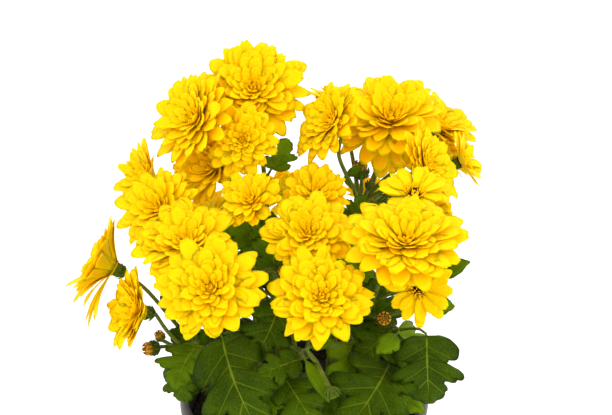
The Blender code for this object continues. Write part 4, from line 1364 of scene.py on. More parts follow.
# Name, foot of the tip, facing, radius, whether its petals show, and plant
BUDS = (
    ("bud_left", (-76, -30, 160), (-0.7, -0.5, 0.2), 3.1, True, "plant_left"),
    ("bud_left_small", (-71, -30, 168), (-0.3, -0.2, 0.9), 2.0, True, "plant_left"),
    ("bud_middle", (-10, -32, 206), (0.0, -0.6, 0.8), 2.4, True, "plant_front"),
    ("bud_right", (38, -50, 191), (0.0, -0.7, 0.6), 3.0, True, "plant_right"),
    ("bud_half_open", (28, 18, 235), (-0.1, 0.0, 1.0), 3.4, True, "plant_back_right"),
    ("bud_green_upper", (34, 19, 226), (0.4, 0.0, 0.9), 2.3, False, "plant_back_right"),
    ("bud_green_low", (14, -82, 169), (0.4, -0.4, -0.8), 2.9, False, "plant_front"),
)
# Leaves that can be told apart: base of the blade, tip, facing, greatest width and plant
LEAVES = (
    ((59, -42, 176), (60, -62, 150), (0.25, -0.80, 0.55), 38, "plant_right"),
    ((42, -44, 162), (20, -86, 152), (0.05, -0.55, 0.83), 42, "plant_right"),
    ((43, -30, 171), (26, -50, 166), (0.00, -0.50, 0.86), 30, "plant_right"),
    ((34, -22, 166), (33, -30, 200), (0.00, -0.90, -0.20), 24, "plant_right"),
    ((23, -6, 216), (30, -4, 232), (-0.40, -0.80, 0.40), 14, "plant_right"),
    ((66, -30, 203), (79, -34, 213), (0.20, -0.60, 0.80), 10, "plant_right"),
    ((60, -42, 192), (72, -44, 194), (0.10, -0.50, 0.86), 11, "plant_right"),
    ((44, -50, 182), (34, -60, 178), (0.00, -0.60, 0.80), 12, "plant_right"),
    ((-39, -48, 179), (-19, -86, 148), (-0.25, -0.60, 0.75), 40, "plant_front"),
    ((-12, -40, 192), (-24, -60, 174), (0.10, -0.75, 0.65), 26, "plant_front"),
    ((-2, -62, 176), (-22, -70, 172), (0.05, -0.60, 0.80), 18, "plant_front"),
    ((-9, -58, 162), (8, -82, 148), (0.10, -0.60, 0.80), 26, "plant_front"),
    ((-14, -20, 198), (-16, -24, 234), (0.10, -0.95, -0.20), 20, "plant_front"),
    ((3, -70, 189), (15, -74, 194), (0.00, -0.50, 0.86), 8, "plant_front"),
    ((1, -66, 178), (12, -80, 164), (0.30, -0.80, 0.50), 8, "plant_front"),
    ((-62, -22, 147), (-59, -31, 127), (-0.35, -0.85, 0.40), 20, "plant_left"),
    ((-48, -20, 154), (-66, -25, 167), (-0.20, -0.80, 0.55), 20, "plant_left"),
    ((-16, 12, 238), (-8, 12, 255), (0.20, -0.90, 0.30), 16, "plant_back_left"),
    ((21, 9, 236), (29, 9, 242), (0.00, -0.90, 0.40), 5, "plant_back_right"),
)
# Leaves of the same kind in the dark mass between the blooms, too many to hold as plain solids
MORE_LEAVES = (
    ((-24, -2, 200), (-36, -14, 226), (0.10, -0.80, 0.60), 26, "plant_front"),
    ((-20, -6, 204), (-12, -22, 226), (-0.10, -0.85, 0.50), 22, "plant_front"),
    ((22, -36, 168), (24, -64, 154), (0.20, -0.70, 0.70), 30, "plant_right"),
    ((30, -40, 160), (46, -62, 140), (0.20, -0.75, 0.60), 28, "plant_right"),
    ((-40, -18, 196), (-50, -26, 218), (-0.20, -0.80, 0.50), 24, "plant_left"),
    ((14, -18, 200), (24, -30, 222), (0.10, -0.80, 0.55), 22, "plant_front"),
    ((-52, -36, 166), (-62, -58, 156), (-0.30, -0.60, 0.75), 28, "plant_left"),
    ((10, -40, 186), (22, -56, 200), (0.10, -0.80, 0.60), 20, "plant_front"),
)
# The frame's own plain blade: share of the length and half width, and the shares where its rib bends
FRAME_BLADE = ((0.00, 0.06), (0.09, 0.50), (0.28, 0.90), (0.37, 0.46), (0.56, 1.00), (0.67, 0.42), (0.85, 0.45))
RIB_SHARES = (0.0, 0.33, 0.66)
# Leaves that a rule sets on each plant, and the millimetres of stem between one try and the next
LEAF_LIMIT = {"plant_left": 5, "plant_front": 3, "plant_right": 4, "plant_back_right": 6, "plant_back_left": 6}
LEAF_SPACING = 15.0
# Smaller leaves that the same rule adds between the others, for the fine pieces only
FILL_LIMIT = {"plant_left": 4, "plant_front": 3, "plant_right": 4, "plant_back_right": 9, "plant_back_left": 9}
FILL_SPACING = 9.0
FILL_SIZE = 0.62
# A leaf set by rule: its length at the soil, what each millimetre of height takes off, and its width
LEAF_LENGTH = 44.0
LEAF_SHRINK = 0.13
LEAF_WIDTH = 0.72
LEAF_CLEARANCE = 4.5
LEAF_SEED = 7
GOLDEN_ANGLE = 137.5
# The poses that a leaf tries: shares of its size, tilts, and turns from its own heading
TRY_SIZES = (1.0, 0.78)
TRY_TILTS = (-14, 8, -34, 28)
TRY_TURNS = (0, 25, -25, 50, -50, 80, -80)
# The plain blade's fold, arch and step in lift from lobe to lobe
BLADE_FOLD = 14.0
BLADE_ARCH = 0.10
LOBE_STEP = 0.06
# Down: hairs in each millimetre of stem, and their radius, which is thicker than life so that it renders
HAIRS_PER_MM = 3.0
HAIR_RADIUS = 0.035
# Main stems: radius, and the height where they end
MAIN_RADII = (2.6, 2.6, 2.6, 2.6, 2.3, 1.7)
MAIN_TOP = 152.0
# Stalks and petioles: radii from foot to end, and the skin's share of the plain stalk
STALK_RADII = (1.5, 1.1)
STALK_SKIN = 0.82
PETIOLE_RADII = ((0, 0.25, 0.7, 1), (1.15, 0.85, 0.7, 0.3))
# The green cup's outline along its height, as shares of its rim: under a bud and under a bloom
BUD_CUP = ((0, 0.12, 0.35, 0.7, 1), (0.35, 0.72, 1.0, 0.98, 0.78))
BLOOM_CUP = ((0, 0.1, 0.35, 0.7, 1), (0.24, 0.30, 0.58, 0.84, 0.92))
# Rows of bracts: how many, where up the cup, their length as a share of its depth, and their lean
BRACT_ROWS = ((9, 0.08, 0.62, 46), (10, 0.28, 0.60, 62), (11, 0.46, 0.56, 74))
BRACT_CURL = 22.0
SOIL_TOP = 100.0
RIM_RADIUS = 65.0
POT_HEIGHT = 115.0


@dataclass
class LeafBlade:
    """The fine blade of one leaf: a lobed, toothed outline, or a narrow plain one."""

    base: np.ndarray
    tip: np.ndarray
    facing: np.ndarray
    widest: float
    tone: float
    seed: int
    fold: float = BLADE_FOLD
    arch: float = BLADE_ARCH
    thickness: float = 0.5
    veins: float = 6.0
    ripples: float = 3.5
    relief: float = 0.035
    droop: float = 0.05

    # Half outline of a lobed leaf from base to tip: share of the length, half width, and the rib share
    # where the vein that ends there leaves
    LOBED = (
        (0.00, 0.04, 0.00), (-0.01, 0.24, 0.01), (0.02, 0.50, 0.03), (0.09, 0.70, 0.05), (0.18, 0.86, 0.07),
        (0.27, 0.93, 0.10), (0.34, 0.84, 0.13), (0.385, 0.64, 0.17), (0.40, 0.47, 0.21), (0.44, 0.62, 0.25),
        (0.50, 0.86, 0.29), (0.58, 1.00, 0.34), (0.66, 0.92, 0.38), (0.69, 0.70, 0.43), (0.69, 0.44, 0.48),
        (0.74, 0.50, 0.54), (0.81, 0.54, 0.60), (0.88, 0.46, 0.67), (0.94, 0.30, 0.75), (0.985, 0.13, 0.86),
        (1.00, 0.00, 1.00),
    )  # fmt: skip
    PLAIN = (
        (0.00, 0.10, 0.00), (0.06, 0.34, 0.04), (0.16, 0.66, 0.10), (0.28, 0.90, 0.18), (0.42, 1.00, 0.28),
        (0.56, 0.94, 0.40), (0.70, 0.76, 0.52), (0.83, 0.48, 0.66), (0.93, 0.22, 0.82), (1.00, 0.00, 1.00),
    )  # fmt: skip

    def build(self, heap: Heap) -> None:
        """Adds the blade.

        Edge point s runs along a smooth curve through the outline's points, pushed out by rounded teeth,
        and the point at share v from the rib to it is R(s) + (E(s) - R(s)) v, where R is where that vein
        leaves the rib. It is lifted by the fold, by the arch along the rib, by quilting between veins,
        and by a slow wave at the edge. The lower sheet is the upper moved down, and shares its border.

        Args:
            heap: where it goes.
        """
        rng = np.random.default_rng((LEAF_SEED, self.seed))
        chord = self.tip - self.base
        length = float(np.linalg.norm(chord))
        # Small and narrow leaves have a plain outline, with fewer and shallower teeth
        plain = self.widest < 13 or self.widest < 0.45 * length
        table, steps, across, teeth, bite = (
            (np.array(self.PLAIN), 20, 5, 6, 0.05) if plain else (np.array(self.LOBED), 61, 9, 11, 0.085)
        )
        s = np.linspace(0, len(table) - 1, steps)
        samples = 400
        smooth = curve_through(list(table), samples)
        reach = np.linspace(0, len(table) - 1, samples)
        share, half = (np.interp(s, reach, smooth[:, k]) for k in range(2))
        rib = np.interp(s, np.arange(len(table)), table[:, 2])
        wave = np.abs(np.sin(math.pi * teeth * s / s[-1])) ** 0.6 - 0.5
        fade = np.sin(math.pi * s / s[-1]) ** 0.5
        push = bite * wave * fade
        half = np.maximum(half + push, 0.0)
        share = share + push * 0.5
        half[-1] = 0.0
        share[-1] = 1.0
        v = np.linspace(-1, 1, across)
        out = np.abs(v)
        lopsided = 1 + rng.uniform(-0.07, 0.07)
        way = chord / length
        side = unit(np.cross(way, self.facing))
        normal = np.cross(side, way)
        sway = rng.uniform(-0.05, 0.05)
        shares = rib[:, None] * (1 - out) + share[:, None] * out
        halves = half[:, None] * v * np.where(v > 0, lopsided, 2 - lopsided) * self.widest / 2
        halves = halves + sway * self.widest * np.sin(math.pi * np.clip(shares, 0, 1))
        fold = math.radians(self.fold)
        high = self.relief * self.widest
        quilt = np.abs(np.sin(math.pi * s / s[-1] * self.veins))[:, None] * np.sin(math.pi * out) * high
        ripple = np.sin(2 * math.pi * (s / s[-1] * self.ripples + rng.uniform(0, 1)))[:, None] * out**2 * high
        lift = np.abs(halves) * math.sin(fold) * 0.8 + quilt + ripple - self.droop * self.widest * out**2
        lift = lift + self.arch * length * 4 * shares * (1 - shares)
        points = self.base + chord * shares[..., None] + side * (halves * math.cos(fold))[..., None]
        points = points + normal * (lift + self.thickness / 2)[..., None]
        faces, inner = lens_faces(steps, len(v))
        flat = points.reshape(-1, 3)
        whole = np.vstack([flat, flat[inner] - normal * self.thickness])
        uv = np.stack(np.broadcast_arrays(out, (s / s[-1] * self.veins)[:, None]), axis=-1).reshape(-1, 2)
        depth = np.concatenate([np.zeros(len(flat)), np.ones(len(inner))])
        # side x way points away from the facing, so the faces are turned to look along it
        heap.add(whole, faces[:, ::-1], np.vstack([uv, uv[inner]]), self.tone, depth)


@dataclass
class Plant:
    """One leafy plant, grown by the frame's rules and skinned finely: stems, cups and leaves."""

    name: str

    def __post_init__(self) -> None:
        """Starts with the main stem."""
        start, end, middle = PLANTS[self.name]
        self.walls = [around(start + 90, 1.0, 0.0), around(end - 90, 1.0, 0.0)]
        foot = around(middle, 22.0, SOIL_TOP - 14.0 + GAP)
        head = around(middle, 27.0, MAIN_TOP)
        waist = around(middle, 22.0, SOIL_TOP + 8)
        self.lines = [curve_through([foot, waist, head], 6)]
        self.radii = [np.array(MAIN_RADII)]
        self.cups: list[tuple[np.ndarray, np.ndarray, float, bool]] = []
        self.leaves: list[np.ndarray] = []
        self.blades: list[tuple[np.ndarray, np.ndarray, np.ndarray, float]] = []
        self.petioles: list[np.ndarray] = []
        self.down = Heap()
        self.rng = np.random.default_rng((LEAF_SEED, middle))

    def inside(self, points: np.ndarray, margin: float) -> bool:
        """Whether all points lie in the plant's own wedge of the pot."""
        return all((points @ wall > margin).all() for wall in self.walls)

    def fork(self, target: np.ndarray, drop: float) -> np.ndarray:
        """The nearest point of the plant's stems that lies well below the target.

        Args:
            target: where the stalk or leaf goes.
            drop: how far below it the point has to lie.

        Returns:
            The point.
        """
        spots = np.vstack([line[1:-1] for line in self.lines])
        spots = spots[spots[:, 2] <= max(target[2] - drop, MAIN_TOP * 0.9)]
        return spots[np.argmin(np.linalg.norm(spots - target, axis=1))]

    def add_stalk(
        self,
        end: np.ndarray,
        facing: np.ndarray,
        tail: tuple[float, ...],
        blooms: list[Bloom],
        ways: tuple[Vec, ...] = (),
        drop: float = 26.0,
        bud: float = 0.0,
        rim: float = 0.0,
    ) -> None:
        """Adds the stalk to one bloom or bud, along the frame's line.

        Args:
            end: where its green cup ends.
            facing: the way the bloom faces.
            tail: lengths of the cup's rings.
            blooms: the blooms it must pass.
            ways: points it has to pass.
            drop: how far below the neck it may fork.
            bud: the bud's radius, or zero for a bloom.
            rim: the radius of the cup's rim.
        """
        facing = unit(facing)
        neck = end - facing * sum(tail)
        start = self.fork(ways[0] if ways else neck, drop)
        span = np.linalg.norm(neck - start)
        best = None
        for lift, pull in STALK_BENDS:
            rise = start + np.array([0.0, 0.0, span * lift])
            arrive = neck - facing * min(span * pull, 22.0)
            if ways:
                line = curve_through([start, *ways, neck], 7)
            else:
                line = bezier(start, rise, arrive, neck, 5 if span > 45 else 4)
            hits = sum(bloom.holds(line[1:-1], 1.6) for bloom in blooms)
            if best is None or hits < best[0]:
                best = (hits, line)
        line = best[1]
        self.lines.append(line)
        self.radii.append(np.linspace(*STALK_RADII, len(line)))
        self.cups.append((neck, facing, rim or bud, bool(bud)))

    def blade(
        self, base: np.ndarray, tip: np.ndarray, facing: np.ndarray, widest: float
    ) -> tuple[np.ndarray, np.ndarray, np.ndarray, np.ndarray, np.ndarray, np.ndarray]:
        """The frame's own plain blade, by which leaves are kept clear of all else.

        Args:
            base: where the blade meets its petiole.
            tip: the blade's end.
            facing: the way its upper side looks.
            widest: its greatest width.

        Returns:
            Left points, right points, rib points, the end, the normal and the side direction.
        """
        chord = tip - base
        length = np.linalg.norm(chord)
        way = chord / length
        side = unit(np.cross(way, facing))
        normal = np.cross(side, way)
        fold = math.radians(BLADE_FOLD)
        shares = np.array([0.0, *(share for share, _ in FRAME_BLADE), *RIB_SHARES, 1.0])
        rib = base + chord * shares[:, None] + normal * (BLADE_ARCH * length * 4 * shares * (1 - shares))[:, None]
        width = np.array([half for _, half in FRAME_BLADE]) * widest / 2
        lift = width * math.sin(fold) - LOBE_STEP * width * (np.arange(len(width)) % 3)
        edge = rib[1 : 1 + len(width)] + normal * lift[:, None]
        left = edge + side * (width * math.cos(fold))[:, None]
        right = edge - side * (width * math.cos(fold))[:, None]
        return left, right, rib[-4:-1], rib[-1], normal, side

    def add_leaf(
        self, base: np.ndarray, tip: np.ndarray, facing: np.ndarray, widest: float, root: np.ndarray | None = None
    ) -> None:
        """Adds a leaf with its petiole, and the points by which the frame keeps others clear of it.

        Args:
            base: where the blade meets its petiole.
            tip: the blade's end.
            facing: the way its upper side looks.
            widest: its greatest width.
            root: where the petiole leaves its stem, or None for the nearest stem.
        """
        left, right, rib, end, normal, side = self.blade(base, tip, facing, widest)
        if root is None:
            root = self.fork(base, 6.0)
        along = unit(tip - base)
        bend = base - along * min(8.0, 0.4 * np.linalg.norm(base - root))
        before = unit(rib[1] - rib[0])
        extra = []
        for place, way in ((bend, unit(base - root)), (root, unit(bend - root))):
            side = carried(side, before, way)
            before = way
            extra += [place + side * 0.9, place - side * 0.9]
        self.leaves.append(np.vstack([left, right, rib, [end], *extra]))
        self.blades.append((base, tip, np.asarray(facing, float), widest))
        # The petiole bends evenly from the stem into the leaf's own line
        stalk = bezier(root, (root + 2 * bend) / 3, (base + 2 * bend) / 3, base, 9)
        self.petioles.append(np.vstack([stalk, rib[:2]]))

    def skin_stems(self, finish: bpy.types.Material) -> bpy.types.Object:
        """Round ribbed skins along every stem, stalk and petiole, thicker where one forks from another.

        Args:
            finish: the stems' material.

        Returns:
            The piece.
        """
        heap = Heap()
        for index, (line, radii) in enumerate(zip(self.lines, self.radii)):
            main = index == 0
            count = 5 * (len(line) - 1) + 1
            path = curve_through(list(line), count)
            share = np.linspace(0, 1, count)
            thick = np.interp(share, np.linspace(0, 1, len(radii)), radii)
            if not main:
                thick = thick * STALK_SKIN * (1 + 0.35 * np.exp(-share * 14))
            points, faces, uvs = swept_tube(path, thick, 10, ribs=0.05)
            # Bark reaches up to 150 mm, and is full 60 mm below that
            woody = np.clip((150 - points[:, 2]) / 60, 0, 1) * (0.55 if main else 0.1)
            heap.add(points, faces, uvs, depths=woody)
            self.add_down(path, thick)
        for path in self.petioles:
            fine = curve_through(list(path), 14)
            thick = np.interp(np.linspace(0, 1, 14), *PETIOLE_RADII)
            points, faces, uvs = swept_tube(fine, thick, 8, ribs=0.04)
            heap.add(points, faces, uvs)
            self.add_down(fine, thick)
        return attach(heap.piece(self.name + "_stems", finish), "leaf_green", self.name)

    def add_down(self, line: np.ndarray, radii: np.ndarray) -> None:
        """Short hairs round a stem, at chance places along it, each leaning a little from its own radius.

        Args:
            line: the stem's middle line.
            radii: its radius at each point.
        """
        reach = reach_along(line)
        count = int(reach[-1] * HAIRS_PER_MM)
        at = self.rng.uniform(0, reach[-1], count)
        middle = rows_at(line, reach, at)
        along = unit_rows(rows_at(np.gradient(line, axis=0), reach, at))
        out = self.rng.normal(0, 1, (count, 3))
        out = unit_rows(out - along * np.sum(out * along, axis=1)[:, None])
        ways = unit_rows(out + along * self.rng.uniform(-0.2, 0.7, count)[:, None])
        feet = middle + out * (np.interp(at, reach, radii) * 0.96)[:, None]
        add_hairs(self.down, feet, ways, self.rng.uniform(0.35, 0.95, count), HAIR_RADIUS)

    def skin_down(self, finish: bpy.types.Material) -> bpy.types.Object:
        """The hairs of all stems, petioles and cups, as one piece."""
        return attach(self.down.piece(self.name + "_down", finish), "leaf_green", self.name)

    def skin_cups(self, finish: bpy.types.Material) -> bpy.types.Object:
        """The green cup under each bloom and bud: a bell turned about the stalk, with rows of bracts on it.

        Args:
            finish: the bracts' material.

        Returns:
            The piece.
        """
        heap = Heap()
        sheet = PetalSheet(
            rows=6, columns=5, thickness=0.3, claw=0.85, fullest=0.35, blunt=0.05, tip_round=0.2, channel=0.25
        )
        rng = np.random.default_rng(3)
        for neck, facing, rim, bud in self.cups:
            deep = rim * 1.9 if bud else sum(CALYX_LENGTHS) + 0.35
            share = np.linspace(0, 1, 9)
            bell = np.interp(share, *(BUD_CUP if bud else BLOOM_CUP)) * rim
            line = neck + facing * (share * deep)[:, None]
            points, faces, uvs = swept_tube(line, bell, 14)
            heap.add(points, faces, uvs)
            self.add_down(line, bell + 0.25)
            side, up = face_axes(facing)
            for count, at, long, lean in BRACT_ROWS:
                out = turned(side, up, rng.uniform(0, 40) + np.arange(count) * 360 / count)
                start = neck + facing * deep * at + out * (np.interp(at, share, bell) * 0.9)
                length = deep * long * rng.uniform(0.9, 1.12, count)
                width = 2 * math.pi * rim / count * 0.8
                pitch = lean + rng.uniform(-5, 5, count)
                sheet.build(heap, start, out, facing, length, width, pitch, BRACT_CURL)
        return attach(heap.piece(self.name + "_cups", finish), "leaf_green", self.name)

    def skin_leaves(self, finish: bpy.types.Material) -> bpy.types.Object:
        """Every leaf blade of the plant.

        Args:
            finish: the leaves' material.

        Returns:
            The piece.
        """
        heap = Heap()
        for index, (base, tip, facing, widest) in enumerate(self.blades):
            tone = 0.5 + 0.5 * math.sin(12.9 * index + len(self.name))
            LeafBlade(base, tip, facing, widest, tone, index).build(heap)
        return attach(heap.piece(self.name + "_leaves", finish), "leaf_green", self.name)


@dataclass
class Grower:
    """Grows all plants for the blooms, by the frame's rules."""

    blooms: list[Bloom]
    plants: dict[str, Plant] = field(default_factory=dict)

    def owner(self, bloom: Bloom) -> str:
        """The plant in whose wedge the bloom's foot lies.

        Args:
            bloom: the bloom.

        Returns:
            The plant's name.
        """
        azimuth = math.degrees(math.atan2(bloom.origin[1], bloom.origin[0])) % 360
        for name, (start, end, _) in PLANTS.items():
            if start <= azimuth < end or start <= azimuth + 360 < end:
                return name
        return "plant_front"

    def grow(self) -> dict[str, Plant]:
        """Stalks to blooms and buds, the leaves that show, then the leaves set by rule.

        Returns:
            The plants by name.
        """
        self.plants = {name: Plant(name) for name in PLANTS}
        for bloom in self.blooms:
            cup = bloom.origin - bloom.normal * (LAYER_THICKNESS / 2 + GAP)
            others = [other for other in self.blooms if other is not bloom]
            ways = STALK_WAYS.get(bloom.name, ())
            plant = self.plants[self.owner(bloom)]
            plant.add_stalk(cup, bloom.normal, CALYX_LENGTHS, others, ways, rim=bloom.root * 0.92)
        for _, place, facing, radius, _, name in BUDS:
            facing = unit(facing)
            tail = (radius * 0.5, radius * 0.6, radius * 0.6)
            self.plants[name].add_stalk(place - facing * GAP, facing, tail, self.blooms, drop=14.0, bud=radius)
        for base, tip, facing, widest, name in LEAVES:
            self.plants[name].add_leaf(np.array(base, float), np.array(tip, float), np.array(facing), widest)
        rng = np.random.default_rng(LEAF_SEED)
        for plant in self.plants.values():
            self.grow_leaves(plant, rng, LEAF_LIMIT[plant.name], LEAF_SPACING, 1.0)
        for base, tip, facing, widest, name in MORE_LEAVES:
            self.plants[name].add_leaf(np.array(base, float), np.array(tip, float), np.array(facing), widest)
        for plant in self.plants.values():
            self.grow_leaves(plant, rng, FILL_LIMIT[plant.name], FILL_SPACING, FILL_SIZE)
        return self.plants

    def is_clear(self, points: np.ndarray, plant: Plant) -> bool:
        """Whether a leaf keeps clear of pot, soil, blooms, buds, other wedges and other leaves.

        Args:
            points: the leaf's points.
            plant: the plant that it would grow on.

        Returns:
            True if it does.
        """
        radius = np.hypot(points[:, 0], points[:, 1])
        z = points[:, 2]
        over_soil = (radius < RIM_RADIUS + 3) & (z < SOIL_TOP + 4)
        over_rim = (radius > RIM_RADIUS - 9) & (radius < RIM_RADIUS + 3) & (z < POT_HEIGHT + 2)
        if over_soil.any() or over_rim.any() or (z < 60).any() or not plant.inside(points, 0.8):
            return False
        if any(bloom.holds(points, 0.8) for bloom in self.blooms):
            return False
        for _, place, _, size, _, _ in BUDS:
            if np.linalg.norm(points - place, axis=1).min() < size + LEAF_CLEARANCE:
                return False
        others = (leaf for other in self.plants.values() for leaf in other.leaves)
        return all(np.linalg.norm(points[:, None] - leaf[None], axis=2).min() >= LEAF_CLEARANCE for leaf in others)

    def grow_leaves(self, plant: Plant, rng: np.random.Generator, limit: int, spacing: float, scale: float) -> None:
        """Leaves round the plant's stems by the golden angle, each turned until it is clear.

        Args:
            plant: the plant that they grow on.
            rng: random numbers shared by all plants.
            limit: how many leaves to set.
            spacing: millimetres of stem between one try and the next.
            scale: size as a share of the usual leaf.
        """
        placed = 0
        turn = rng.uniform(0, 360)
        for line in list(plant.lines):
            reach = reach_along(line)
            for at in np.arange(spacing, reach[-1] - 4, spacing):
                if placed >= limit:
                    return
                foot = rows_at(line, reach, at)
                if foot[2] < SOIL_TOP + 8:
                    continue
                turn += GOLDEN_ANGLE
                outward = math.degrees(math.atan2(foot[1], foot[0]))
                heading = outward + 75 * math.sin(math.radians(turn))
                size = scale * (LEAF_LENGTH - LEAF_SHRINK * (foot[2] - SOIL_TOP)) * rng.uniform(0.85, 1.15)
                placed += self.try_leaf(plant, foot, heading, size)

    def try_leaf(self, plant: Plant, foot: np.ndarray, heading: float, size: float) -> bool:
        """Sets one leaf in the first pose that is clear.

        Args:
            plant: the plant that it grows on.
            foot: where it leaves its stem.
            heading: the azimuth that it makes for, in degrees.
            size: its length.

        Returns:
            Whether there was a clear pose.
        """
        for share, tilt, extra in itertools.product(TRY_SIZES, TRY_TILTS, TRY_TURNS):
            out = around(heading + extra, 1.0, 0.0)
            rise = math.radians(tilt)
            way = out * math.cos(rise) + np.array([0, 0, math.sin(rise)])
            base = foot + out * 9.0 + np.array([0.0, 0.0, 4.0])
            tip = base + way * size * share
            facing = np.array([0.0, 0.0, 1.0]) + out * 0.25
            widest = size * share * LEAF_WIDTH
            left, right, rib, end, _, _ = plant.blade(base, tip, facing, widest)
            if self.is_clear(np.vstack([left, right, rib, [end]]), plant):
                plant.add_leaf(base, tip, facing, widest, foot)
                return True
        return False


@dataclass
class Bud:
    """The yellow tip of a bud: closed florets that lean together over the green cup."""

    name: str
    place: np.ndarray
    facing: np.ndarray
    radius: float

    # Rings of florets: how many, and as shares of the radius where they stand and how long they are;
    # then their rise and their curl
    RINGS = ((9, 0.74, 1.35, 92, 95), (7, 0.45, 1.15, 96, 70), (4, 0.2, 1.0, 98, 40))

    def build(self, finish: bpy.types.Material) -> bpy.types.Object:
        """Three rings of curled florets round a small dome.

        Args:
            finish: the florets' material.

        Returns:
            The piece.
        """
        heap = Heap()
        rng = np.random.default_rng(len(self.name))
        side, up = face_axes(self.facing)
        sheet = PetalSheet(thickness=0.3, claw=0.8, fullest=0.5, blunt=0.3, tip_round=0.1, channel=-0.25)
        for count, ring, long, lean, curl in self.RINGS:
            out = turned(side, up, rng.uniform(0, 40) + np.arange(count) * 360 / count)
            start = self.place - self.facing * 0.5 + out * self.radius * ring
            length = self.radius * long * rng.uniform(0.92, 1.06, count)
            tone = rng.uniform(0, 0.6, count)
            sheet.build(heap, start, out, self.facing, length, self.radius * 0.62, lean, curl, tone=tone, depth=0.6)
        share = np.linspace(0, 1, 6)
        line = self.place + self.facing * (share * self.radius * 0.8 - 0.3)[:, None]
        points, faces, uvs = swept_tube(line, self.radius * 0.68 * np.sqrt(1 - 0.96 * share**2), 10)
        heap.add(points, faces, uvs * 0, 0.5, 0.8)
        return attach(heap.piece(self.name + "_florets", finish), "petal_yellow", self.name + "_tip")


# --------------------------------------------------------------------------- pot and soil


@dataclass
class Pot:
    """The pot: a tapered cup with a rolled lip and six drain holes."""

    base_radius: float = 47.5
    neck_radius: float = 61.6
    neck_height: float = 105.0
    wall: float = 1.8
    floor: float = 2.4
    sides: int = 144
    holes: int = 6
    hole_radius: float = 5.0
    hole_ring: float = 34.0

    def profile(self) -> np.ndarray:
        """Radius and height from the middle of the base, up the outside, over the lip and down inside.

        Returns:
            Rows of two.
        """
        lip = RIM_RADIUS
        neck_in = self.neck_radius - self.wall
        base_in = self.base_radius - self.wall
        corners = (
            (0.02, 0.0), (self.base_radius - 3.0, 0.0), (self.base_radius - 1.2, 0.3), (self.base_radius - 0.3, 1.0),
            (self.base_radius + 0.1, 2.6), (self.neck_radius - 0.2, self.neck_height - 1.5),
            (self.neck_radius, self.neck_height - 0.2), (lip - 1.0, self.neck_height + 0.35),
            (lip - 0.2, self.neck_height + 1.2), (lip, self.neck_height + 2.8), (lip - 0.15, POT_HEIGHT - 3.4),
            (lip - 0.5, POT_HEIGHT - 1.5), (lip - 1.3, POT_HEIGHT - 0.4), (lip - 2.4, POT_HEIGHT),
            (lip - 3.5, POT_HEIGHT - 0.4), (lip - 4.2, POT_HEIGHT - 1.5), (neck_in + 0.3, self.neck_height - 1.0),
            (neck_in, self.neck_height - 3.0), (base_in + 0.3, self.floor + 1.5), (base_in - 1.0, self.floor),
            (0.02, self.floor),
        )  # fmt: skip
        return np.array(corners)

    def build(self, finish: bpy.types.Material) -> bpy.types.Object:
        """The profile turned about Z, with round holes cut through its floor.

        Args:
            finish: the plastic.

        Returns:
            The piece.
        """
        heap = Heap()
        rows = self.profile()
        turn = np.linspace(0, 2 * math.pi, self.sides, endpoint=False)
        spokes = np.stack([np.cos(turn), np.sin(turn), 0 * turn], axis=1)
        points = rows[:, None, :1] * spokes[None] + np.array((0, 0, 1)) * rows[:, None, 1:]
        points = points.reshape(-1, 3)
        heap.add(points, grid_faces(len(rows), self.sides, closed=True), np.zeros((len(points), 2)))
        pot = heap.piece("pot_wall", finish)
        cutter = Heap()
        for k in range(self.holes):
            centre = around(360 * (k + 0.5) / self.holes, self.hole_ring, 0.0)
            line = centre + np.array([(0, 0, -2.0), (0, 0, 0.0), (0, 0, 3.0), (0, 0, 5.0)])
            skin, faces, hole_uvs = swept_tube(line, np.full(4, self.hole_radius), 28)
            cutter.add(skin, faces, hole_uvs)
        drill = cutter.piece("drain_drill", finish)
        cut = pot.modifiers.new("drain holes", "BOOLEAN")
        cut.operation = "DIFFERENCE"
        cut.object = drill
        cut.solver = "EXACT"
        graph = bpy.context.evaluated_depsgraph_get()
        bored = bpy.data.meshes.new_from_object(pot.evaluated_get(graph))
        pot.modifiers.clear()
        pot.data = bored
        bpy.data.objects.remove(drill)
        bored.shade_smooth()
        bored.set_sharp_from_angle(angle=math.radians(40))
        return attach(pot, "dark_grey_plastic", "pot")


